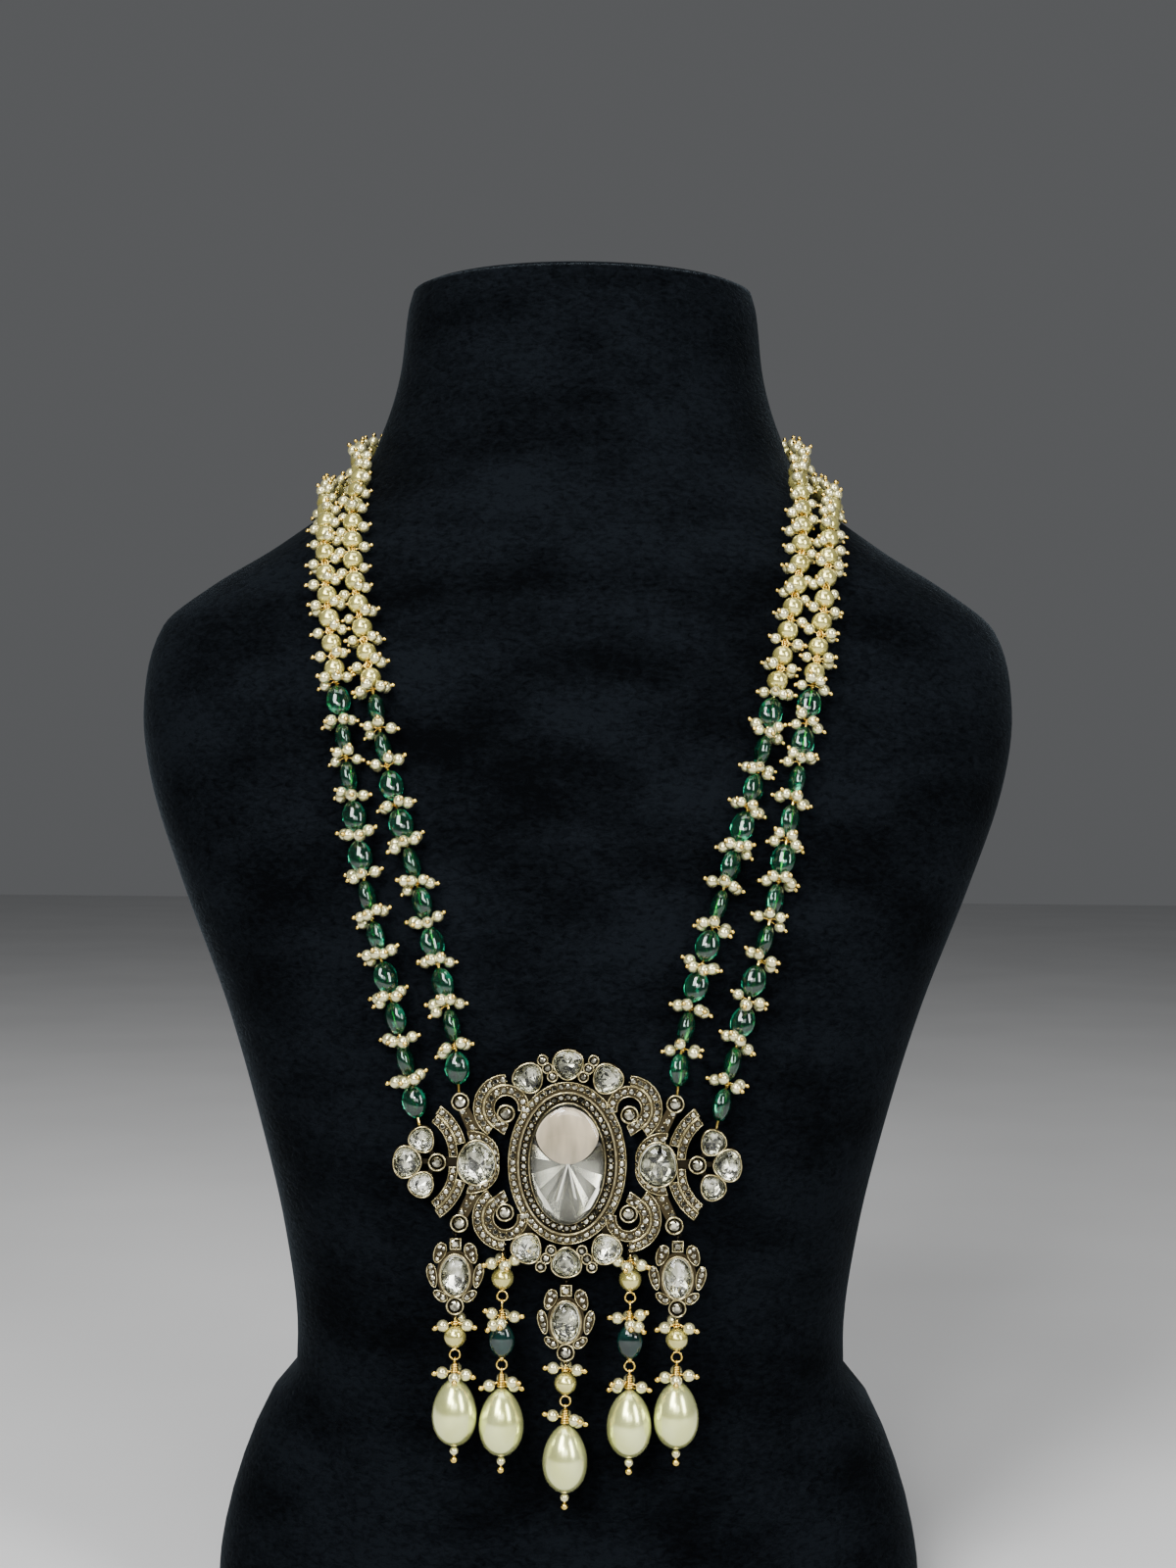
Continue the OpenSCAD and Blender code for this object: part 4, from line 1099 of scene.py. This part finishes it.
MEDALLION_STONES = ["centre_medallion_stone", "left_medallion_stone", "right_medallion_stone"]
BIG_STONES = (
    ["top_petal", "bottom_petal", "upper_left_petal", "upper_right_petal", "lower_left_petal",
     "lower_right_petal", "left_side_stone", "right_side_stone"]
    + MEDALLION_STONES
    + [f"{side}_trefoil_stone_{k}" for side in ("left", "right") for k in (1, 2, 3)]
)
crowns, foils, seats = [], [], {}
rng = random.Random(11)
for name in BIG_STONES:
    centre, rim, back, front = outline_of(solids_of(name)[0])
    rim = resampled(rim, 16)
    seats[name] = (centre, rim)
    crowns.append(crown_of(centre, rim, back, front, table=0.6))
    foils.append(foil_of(centre, rim, back, (back - front) * 0.5, rng))
crown = outward(mesh_object("stone_crowns", *joined(crowns), smooth=False))
finish_piece(crown, crown_finish, BIG_STONES)
finish_piece(mesh_object("stone_foils", *joined(foils), smooth=False), foil_finish)

# %% [markdown]
# ## The centre stone
#
# The middle stone is a long oval. Its foil is smooth and blush-coloured under the upper half, and there
# the sheet also paints the reflection in the stone's table; it ends in a curved edge like the foot of an
# egg.
# Below that edge long facets run out from a point just under the middle. Two of them stand up as a
# narrow peak, and there is a patch on each side of the lower half: near-white foil that paints the
# highlights where the facets catch the light.

# %% The dome of the centre stone
centre, rim, back, front = outline_of(solids_of("centre_stone")[0])
rim = resampled(rim, 56)
seats["centre_stone"] = (centre, rim)
tall = back - front
# Shares of the height, the angle from ring to ring, and how full the dome is.
DOME_FOOT, DOME, DOME_STEP, FULLNESS = 0.46, 0.53, 7, 0.8
rings = [(rim, back - 0.05), (rim, back - tall * DOME_FOOT)]
for a in (math.radians(DOME_STEP * k) for k in range(1, 13)):
    height = tall * (DOME_FOOT + DOME * math.sin(a) ** FULLNESS)
    rings.append((scaled(rim, centre, math.cos(a)), back - height))
crown = outward(mesh_object("centre_crown", *ringed(rings)))
# The dome is smooth; only the girdle and the flat back have edges.
dome_y = (back - tall * 0.4) * MM
for face in crown.data.polygons:
    face.use_smooth = all(crown.data.vertices[v].co.y < dome_y for v in face.vertices)
finish_piece(crown, crown_finish, ["centre_stone"])

# %% Facets and cup of the centre foil
# The knot is the point where the facets meet; they fold up and down by turns round it.
KNOT, KNOT_DROP = np.array((0.2, 0.2)), 0.9
FACETS, FACET_REACH, FACET_FROM, FACET_TURN = 14, np.array((9.6, 15.4)), -200, 220
FOLDS, CUP_SIZE, CUP_RISE = (-0.2, 0.8), 1.035, 0.75
level = back - tall * 0.4
clear = patterned(
    "clear_foil", 90.0, 1.0, [(0.35, (0.18, 0.18, 0.14)), (0.62, (0.50, 0.50, 0.42))],
    Metallic=0.9, Roughness=0.2,
)
steps = [i + (rng.uniform(-0.3, 0.3) if 0 < i < FACETS else 0) for i in range(FACETS + 1)]
foil_points = upright([centre + KNOT], level + KNOT_DROP)
for i, step in enumerate(steps):
    a = math.radians(FACET_FROM + FACET_TURN * step / FACETS)
    corner = centre + FACET_REACH * (math.cos(a), math.sin(a))
    foil_points += upright([corner], level - FOLDS[i % 2] * rng.uniform(0.6, 1.0))
foil_faces = [(0, 1 + i, 2 + i) for i in range(FACETS)]
foil_faces += bands(2, len(rim), len(foil_points))
foil_points += upright(scaled(rim, centre, CUP_SIZE), level - CUP_RISE) + upright(rim, level)
finish_piece(mesh_object("centre_foil_facets", foil_points, foil_faces, smooth=False), clear)

# %% Painted reflection of the egg and painted highlights of the centre foil
EGG_N, EGG_UP, EGG_LIFT, EGG_DISH, EGG_HALF = 48, 7.6, 1.5, 0.8, 8.3
# Height of each half of the egg, and how much it narrows.
EGG_TOP, EGG_FOOT = (7.4, -0.16), (7.6, 0.1)
PEAK_LIFT, PEAK_LEAN = 1.25, 0.02
# The egg is blush foil with a painted reflection: its colour stands for the table reflecting light over the
# pinkish foil.
blush_painted_reflection = patterned(
    "blush_painted_reflection_foil", 260.0, 2.0, [(0.34, (0.44, 0.37, 0.26)), (0.62, (0.71, 0.605, 0.44))],
    stretch=(1.0, 1.0, 0.25), Metallic=0.55, Roughness=0.42,
)
# Near-white foil on the peak and the two patches is a painted highlight: it stands for facets that catch the
# light.
bright = patterned(
    "painted_highlight_foil", 300.0, 2.0, [(0.36, (0.80, 0.79, 0.68)), (0.52, (1.0, 0.99, 0.88))],
    Metallic=0.35, Roughness=0.25,
)
egg_rim = []
for a in angles_round(EGG_N):
    height, narrow = EGG_FOOT if math.sin(a) < 0 else EGG_TOP
    egg_rim.append((EGG_HALF * math.cos(a) * (1 + narrow * math.sin(a)), height * math.sin(a)))
egg_centre = centre + (0, EGG_UP)
egg_points = upright([egg_centre], level - EGG_LIFT)
for share in (0.3, 0.55, 0.8, 1.0):
    egg_points += upright(egg_centre + np.array(egg_rim) * share, level - EGG_LIFT + EGG_DISH * share**2)
egg_faces = fan(0, 1, EGG_N) + flipped(bands(4, EGG_N, 1))
finish_piece(mesh_object("centre_foil_egg", egg_points, egg_faces), blush_painted_reflection)
# Corners in (x, z) from the knot of the painted highlights: the two sides of the peak, and the two patches.
PAINTED_HIGHLIGHTS = [
    [(-0.2, 0.2), (-3.1, -10.2), (-2.3, -9.6), (0.1, -0.4)],
    [(0.1, -0.4), (1.7, -8.8), (2.5, -9.6), (0.3, 0.2)],
    [(-8.3, -5.6), (-7.9, -8.0), (-5.6, -12.0), (-3.6, -13.3), (-5.2, -10.2), (-7.2, -7.4)],
    [(8.5, -5.0), (7.2, -7.0), (5.4, -10.2), (3.9, -13.1), (6.0, -11.8), (8.1, -7.8)],
]
knot = centre + KNOT
patches = []
for flat in PAINTED_HIGHLIGHTS:
    corners = [(knot[0] + x, level - PEAK_LIFT - PEAK_LEAN * z, knot[1] + z) for x, z in flat]
    patches.append((corners, [tuple(range(len(flat)))]))
finish_piece(mesh_object("centre_foil_peak", *joined(patches), smooth=False), bright)

# %% [markdown]
# ## Small stones, stone rows and grains
#
# The strips of the frame carry rows of tiny round stones, each held by grains: beads of metal
# raised with a graver on both sides of it. The row's middle line is spaced evenly by the lines
# tree, once with a stone and once with a pair of grains.

# %% Small round stones from the CAD
# Heights off the pendant's back.
ROW_TOP, RIM_TOP, MEDALLION_TOP, MEDALLION_RIM_TOP = 2.4, 3.3, 2.3, 3.15
ROW_LIFT, INNER_ROW_LIFT = ROW_TOP + 0.05, 1.75
WALL, BEZEL = 0.42, 0.72


def faceted_disc(radius, height, sides, table=0.55, seat=0.3):
    """A tiny brilliant: short girdle, a band of facets and a table, facing +Z."""
    rings = [(1, -seat, 0), (1, 0.0, 0), (0.8, height * 0.6, 0.5), (table, height, 0)]
    vertices = [
        (radius * share * math.cos(a), radius * share * math.sin(a), h)
        for share, h, shift in rings
        for a in (2 * math.pi * (s + shift) / sides for s in range(sides))
    ]
    quads = bands(4, sides)
    faces = [tuple(reversed(range(sides)))] + quads[:sides]
    for a, b, c, d in quads[sides:]:
        faces += [(a, b, d), (b, c, d)]
    faces.append(tuple(range(3 * sides, 4 * sides)))
    return vertices, faces


round_places, round_rims = [], []
for name, lift, wire in (
    ("round_stones", RIM_TOP, 0.24), ("leaf_stones", RIM_TOP, 0.16),
    ("medallion_round_stones", MEDALLION_TOP, 0.24),
):
    for points in solids_of(name):
        c, radius = middle(points[:, [0, 2]]), np.ptp(points[:, 0]) / 2
        round_places.append((*upright([c], pendant_back - lift + 0.25), FRONT, ACROSS, radius * 0.92))
        circle = [c + (radius + WALL) * np.array((math.cos(a), math.sin(a))) for a in angles_round(20)]
        round_rims.append((upright(circle, pendant_back - lift), wire))
unit_stone = hidden_shape("unit_stone", *faceted_disc(1.0, 0.5, 9, table=0.5, seat=0.9), smooth=False)
put_shapes(
    "round_set_stones", round_places, unit_stone, small_stone_finish, "stone",
    ["round_stones", "leaf_stones", "medallion_round_stones"], turn=3.0, seed=9,
)
SQUARE = 1.4 * np.array([(1, 1), (-1, 1), (-1, -1), (1, -1)])
squares = []
for points in solids_of("medallion_square_stones"):
    c, rim, back, front = outline_of(points)
    squares.append(crown_of(c, resampled(rim, 8), back, front, table=0.55))
    round_rims.append((upright(c + SQUARE, pendant_back - MEDALLION_TOP), 0.2))
square_stones = outward(mesh_object("square_set_stones", *joined(squares), smooth=False))
finish_piece(square_stones, small_stone_finish, ["medallion_square_stones"])

# %% Lines of the pendant
STONE_R = np.array((9.7, 15.5))
RIDGE, RING = STONE_R + BEZEL + 2.6, STONE_R + BEZEL + 5.4
SCROLL = np.array((RING[0] * 1.03, RING[1] * 0.675))
STEM = np.array((28.5, SCROLL[1] + 1.5))
WING, SIDE_X = np.array((42.8, 1.4)), 24.0
TAIL = np.array([(1.78, -2.49), (-0.53, -4.63), (0.53, -7.12), (3.74, -4.9)])
COLLAR_IN = BEZEL + 4.6
CORNERS = [(sx, sy) for sx in (1, -1) for sy in (1, -1)]


def in_pendant(points, lift):
    """Points (x, up) of the pendant's plane as places in the model, lifted off the pendant's back."""
    return [(p[0], pendant_back - lift, pendant_z + p[1]) for p in points]


def oval(radii, count=72):
    return [(radii[0] * math.sin(a), radii[1] * math.cos(a)) for a in angles_round(count)]


def arc(c, r, a0, a1, count=14):
    return [(c[0] + r * math.cos(a), c[1] + r * math.sin(a)) for a in np.radians(np.linspace(a0, a1, count))]


def four_ways(points):
    return [[(sx * x, sy * y) for x, y in points] for sx, sy in CORNERS]


def strip_edge(c, r0, r1, a0, a1, inset=0.18):
    """Closed edge of an arc strip, a little inside its outline."""
    shrink = math.copysign(math.degrees(inset / ((r0 + r1) / 2)), a1 - a0)
    a0, a1 = a0 + shrink, a1 - shrink
    return arc(c, r1 - inset, a0, a1) + arc(c, r0 + inset, a1, a0)


def collar_line(share, a0=72, a1=174, count=11):
    """A line along the collar: share 0 is its inner edge, 1 its outer, which narrows upward."""
    points = []
    for t in (k / (count - 1) for k in range(count)):
        r = (COLLAR_IN - 1.2) * (1 - share) + (COLLAR_IN + 3.5 - 2.9 * t) * share
        a = math.radians(a0 + (a1 - a0) * t)
        points.append((SIDE_X + r * math.cos(a), r * math.sin(a)))
    return points


print("ring", RING, "scroll", SCROLL.round(2))

# %% Leaves of the medallions
# Columns: place on the halo in degrees, width, length, turn in degrees, distance as a share.
MED_HALO = np.array((3.55, 5.2)) + BEZEL + 1.4
LEAVES = [(43, 3.3, 5.8, 200, 1.085), (91.5, 2.7, 6.6, 168, 1.075), (137.5, 2.6, 4.4, -56, 1.02)]
# For each leaf, its stones: across in mm, along as a share of the length, size.
LEAF_STONES = [
    [(-0.62, -0.27, 0.62), (0.66, -0.24, 0.6), (0.0, 0.03, 0.74), (0.0, 0.3, 0.56)],
    [(0.0, -0.36, 0.7), (0.0, -0.14, 0.8), (0.0, 0.1, 0.74), (0.0, 0.31, 0.58)],
    [(0.0, -0.2, 0.82), (0.0, 0.17, 0.68)],
]
SCROLL_END_STONES = [(0.55, -5.75, 0.8), (2.25, -4.45, 0.8), (0.95, -4.1, 0.6)]
LEAF_EDGE, LEAF_TAPER, LEAF_RIM_TOP = 0.12, 0.22, 2.28


def leaf_point(leaf, mirror, x, y):
    """A point of a leaf's own plane, turned and set on the halo round a medallion."""
    angle, _, _, turn, far = leaf
    t, a = math.radians(turn), math.radians(angle)
    px = far * MED_HALO[0] * math.sin(a) + x * math.cos(t) - y * math.sin(t)
    return mirror * px, far * MED_HALO[1] * math.cos(a) + x * math.sin(t) + y * math.cos(t)


leaf_rims, leaf_stone_places, leaf_y = [], [], pendant_back - MEDALLION_TOP
for side in ("left", "centre", "right"):
    c = seats[f"{side}_medallion_stone"][0]
    for leaf, leaf_stones in zip(LEAVES, LEAF_STONES):
        half_w, half_l = leaf[1] / 2 - LEAF_EDGE, leaf[2] / 2 - LEAF_EDGE
        for mirror in (-1, 1):
            rim = []
            for a in angles_round(14):
                across = half_w * math.cos(a) * (1 - LEAF_TAPER * math.sin(a))
                rim.append(c + leaf_point(leaf, mirror, across, half_l * math.sin(a)))
            leaf_rims.append((upright(rim, pendant_back - LEAF_RIM_TOP), True))
            for x, share, size in leaf_stones:
                place = upright([c + leaf_point(leaf, mirror, x, share * leaf[2])], leaf_y)
                leaf_stone_places.append((*place, FRONT, ACROSS, size))
for sx, sy in CORNERS:
    for x, y, size in SCROLL_END_STONES:
        place = in_pendant([(sx * (SCROLL[0] + x), sy * (SCROLL[1] + y))], ROW_LIFT)
        leaf_stone_places.append((*place, FRONT, ACROSS, size))
leaf_stone = hidden_shape("leaf_stone", *faceted_disc(1.0, 0.5, 8, seat=0.2), smooth=False)
put_shapes("leaf_set_stones", leaf_stone_places, leaf_stone, small_stone_finish, "stone", turn=3.1, seed=19)

# %% Stone rows
# For each kind: radius of its stones, their spacing, and its middle lines as (points, closed).
STONE_ROWS = {
    "ring": (0.84, 1.86, [
        (in_pendant(oval(STONE_R + BEZEL + 1.18, 90), INNER_ROW_LIFT), True),
        (in_pendant(oval(RIDGE + 1.5, 96), ROW_LIFT), True),
    ]),
    "scroll": (0.86, 1.9, [
        (in_pendant(line, ROW_LIFT), False)
        for middle_line in (
            arc(SCROLL, 7.45, -50, 82), arc(SCROLL, 4.6, -46, 184, 24), collar_line(0.56, 78, 170),
        )
        for line in four_ways(middle_line)
    ]),
    "wing": (0.8, 1.72, [
        (in_pendant(line, ROW_LIFT), False)
        for middle_line in (
            arc(WING, 12.5, 176, 131), arc(WING, 15.0, 163, 129), [STEM - (0.6, 2.7), (SIDE_X + 1.2, 9.3)],
        )
        for line in four_ways(middle_line)
    ]),
}
GRAIN_R, GRAIN_OUT = 0.24, 0.74
grain_v, grain_f = ball(GRAIN_R, 6, 4)
for name, (radius, spacing, lines) in STONE_ROWS.items():
    stone = hidden_shape(f"{name}_stone", *faceted_disc(radius, radius * 0.5, 8, table=0.6), smooth=False)
    space_shapes(
        f"{name}_row_stones", lines, stone, spacing, small_stone_finish, "stone", turn=6.3, tilt=0.2, seed=13
    )
    sides = [(spacing / 2, side * radius * GRAIN_OUT, 0.1) for side in (-1, 1)]
    grains = hidden_shape(f"{name}_grains", *joined([(moved(grain_v, side), grain_f) for side in sides]))
    space_shapes(f"{name}_row_grains", lines, grains, spacing, rim_gold, "gold")

# %% [markdown]
# ## Bright rims
#
# A thin bright line runs along every edge that a polishing cloth reaches: both sides of each strip,
# the ridge between the two rings, and the top of every wall that holds a stone. They are round
# wires laid on the CAD's edges.

# %% Rims
rims = [(in_pendant(oval(RIDGE), RIM_TOP), True), (in_pendant(oval(RING - 0.2), ROW_TOP), True)]
for edge in (
    strip_edge(SCROLL, 6.0, 8.9, -57, 88), strip_edge(SCROLL, 3.1, 6.15, -60, 195),
    collar_line(0.04) + collar_line(0.95)[::-1],
    strip_edge(WING, 11.3, 13.8, 181, 126), strip_edge(WING, 13.7, 16.3, 167, 124),
    SCROLL + TAIL,
):
    rims += [(in_pendant(line, ROW_TOP), True) for line in four_ways(edge)]
sweep_wire("strip_rims", rims + leaf_rims, 0.17, rim_gold, sides=6)
walls = []
for name, (centre, rim) in seats.items():
    grow = 1 + WALL / (np.ptp(rim, axis=0).mean() / 2)
    lift = MEDALLION_RIM_TOP if name in MEDALLION_STONES else RIM_TOP
    walls.append((upright(resampled(scaled(rim, centre, grow), 40), pendant_back - lift), True))
sweep_wire("wall_rims", walls, 0.24, rim_gold)
for wire in (0.24, 0.2, 0.16):
    lines = [(points, True) for points, size in round_rims if size == wire]
    sweep_wire(f"small_rims_{round(wire * 100)}", lines, wire, rim_gold, sides=6)

# %% [markdown]
# ## Metal that stays
#
# The frame, medallions, pins, clasp and threads keep their CAD shapes and only get their finish.

# %% CAD metal finishes
FRAME_METAL = ["pendant_frame", "centre_medallion", "left_medallion", "right_medallion"]
WIRE_METAL = ["pear_pins", "pearl_pins", "oval_pins", "clasp"]
WIRE_METAL += [f"{side}_{row}_thread" for side, row in strands]
for names, metal in ((FRAME_METAL, frame_gold), (WIRE_METAL, wire_gold)):
    for name in names:
        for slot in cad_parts[name].material_slots:
            slot.material = metal
    print(len(names), "nodes in", metal.name)

# %% [markdown]
# ## Clusters and wrapped wire on the drops
#
# The seed pearls of the drops are placed one by one, as the jeweller placed them: each row below gives
# the way a pin points, sideways, forward and upward, above the round pearls, ovals and pears. The
# wrapped wire under each loop is a coil that grows wider at its foot.

# %% Drop clusters
OVER_PEARL = {
    "outer": [(-1, 0.35, -0.25), (1, 0.3, -0.2), (0.3, -1, 0.1)],
    "inner": [(-0.9, 0.6, -0.1), (0.25, 1, -0.2), (1, 0.25, 0.15), (-0.2, -1, 0)],
    "centre": [(-1, 0.3, 0.1), (1, 0.5, 0.0), (0, -1, 0)],
}
OVER_PEAR = {
    "outer": [(-1, 0.4, 0.0), (0.05, 1, -0.3), (0.95, 0.45, -0.15), (0, -1, 0)],
    "inner": [(-1, 0.3, -0.25), (0.9, 0.6, 0.1), (1, 0.1, -0.3), (0, -1, 0)],
    "centre": [(-1, 0.2, 0.25), (0.75, 0.75, 0.05), (1, 0.1, -0.25), (0, -1, 0)],
}
OVER_OVAL = [(-0.8, 0.5, 0.45), (-0.75, 0.75, -0.5), (-0.05, 1, -0.25), (1, 0.3, 0.15), (0.1, -1, 0)]
# Length of the wrapped wire above a pear, an oval, and a round pearl of each kind of drop.
PEAR_WRAP, OVAL_WRAP, PEARL_WRAP = 3.8, 3.4, {"outer": 1.2, "inner": 2.5, "centre": 1.2}
WRAP_R, WRAP_PITCH, WRAP_FLARE, WRAP_WIRE, CAP_R = 0.74, 0.6, 0.6, 0.25, 0.75
drop_pins, coils = [], []


def dress(k, bead, mirror, pin_lift, ways, wrap):
    """Seed pearl pins and a coil of wrapped wire above a bead of drop k."""
    x, y = middle(solids_of(f"drop_pear_{k}")[0])[:2]
    top = list(box_in_mm(bead))[1][2]
    for across, forward, upward in ways:
        way = unit((across * mirror, -forward, upward))
        drop_pins.append(((x, y, top + pin_lift), way, (0, 0, 1), 1.0))
    turns = wrap / WRAP_PITCH
    line = helix(WRAP_R, wrap, turns, int(turns * 12), flare=WRAP_FLARE)
    coils.append(tube(moved(line, (x, y, top + 0.1)), WRAP_WIRE, 6))


for k in DROPS:
    kind = "centre" if k == 3 else "inner" if k in (2, 4) else "outer"
    mirror = -1 if k > 3 else 1
    wrap = PEARL_WRAP[kind]
    dress(k, f"drop_pear_{k}", mirror, 1.5, OVER_PEAR[kind], PEAR_WRAP)
    dress(k, f"drop_pearl_{k}", mirror, 0.3 + wrap / 2, OVER_PEARL[kind], wrap)
    if kind == "inner":
        dress(k, drop_ovals[k > 3], mirror, 1.4, OVER_OVAL, OVAL_WRAP)
put_shapes("drop_seed_pearls", drop_pins, seed_shape, seed_pearl_finish, "pearl")
put_shapes("drop_seed_pins", drop_pins, drop_pin_shape, wire_gold, "wire")
finish_piece(mesh_object("drop_wraps", *joined(coils)), wire_gold)
cap_out = GREEN_L / 2 + 0.1
ends = [np.add(row[0], (0, 0, end * cap_out)) for row in oval_places for end in (1, -1)]
caps = [ball(CAP_R, 10, 6, end) for end in ends]
finish_piece(mesh_object("oval_caps", *joined(caps)), wire_gold)

# %% [markdown]
# ## The studio
#
# A pale floor and a grey surround, with soft boxes to the left, to the right, in front and above,
# and one small box for the sparkle. They are what the stones and pearls mirror, so they give the
# long highlights.

# %% Floor and lights
FLOOR_HALF = 4000.0
TARGET = Vector((0, 0, 0.2))
# Columns: name, place, width and height in metres, power.
BOXES = [
    ("left_box", (-0.45, -0.95, 0.95), 0.4, 0.8, 26), ("right_box", (0.75, -0.8, 0.6), 0.25, 0.7, 11),
    ("front_box", (0.05, -1.9, 0.75), 1.0, 0.4, 8), ("sparkle_box", (-0.18, -1.1, 0.62), 0.14, 0.14, 4),
    ("top_box", (0.0, -0.3, 1.3), 0.9, 0.5, 7),
]
for shape in shapes:
    bpy.data.objects.remove(shape)
corners = [(FLOOR_HALF * x, FLOOR_HALF * y, 0) for x, y in ((-1, -1), (1, -1), (1, 1), (-1, 1))]
floor = mesh_object("studio_floor", corners, [(0, 1, 2, 3)], smooth=False)
greys = [(0.3, (0.60, 0.60, 0.60)), (0.7, (0.64, 0.64, 0.64))]
floor.data.materials.append(patterned("pale_floor", 6.0, 2.0, greys, Roughness=0.8))
for name, place, width, height, power in BOXES:
    lamp = linked(name, bpy.data.lights.new(name, "AREA"))
    lamp.data.shape = "RECTANGLE"
    lamp.data.size, lamp.data.size_y, lamp.data.energy = width, height, power
    lamp.location = place
    lamp.rotation_euler = (TARGET - Vector(place)).to_track_quat("-Z", "Y").to_euler()
world = bpy.data.worlds.new("studio")
world.use_nodes = True
sky = world.node_tree.nodes["Background"].inputs
sky["Color"].default_value, sky["Strength"].default_value = (0.8, 0.82, 0.85, 1), 0.13
bpy.context.scene.world = world
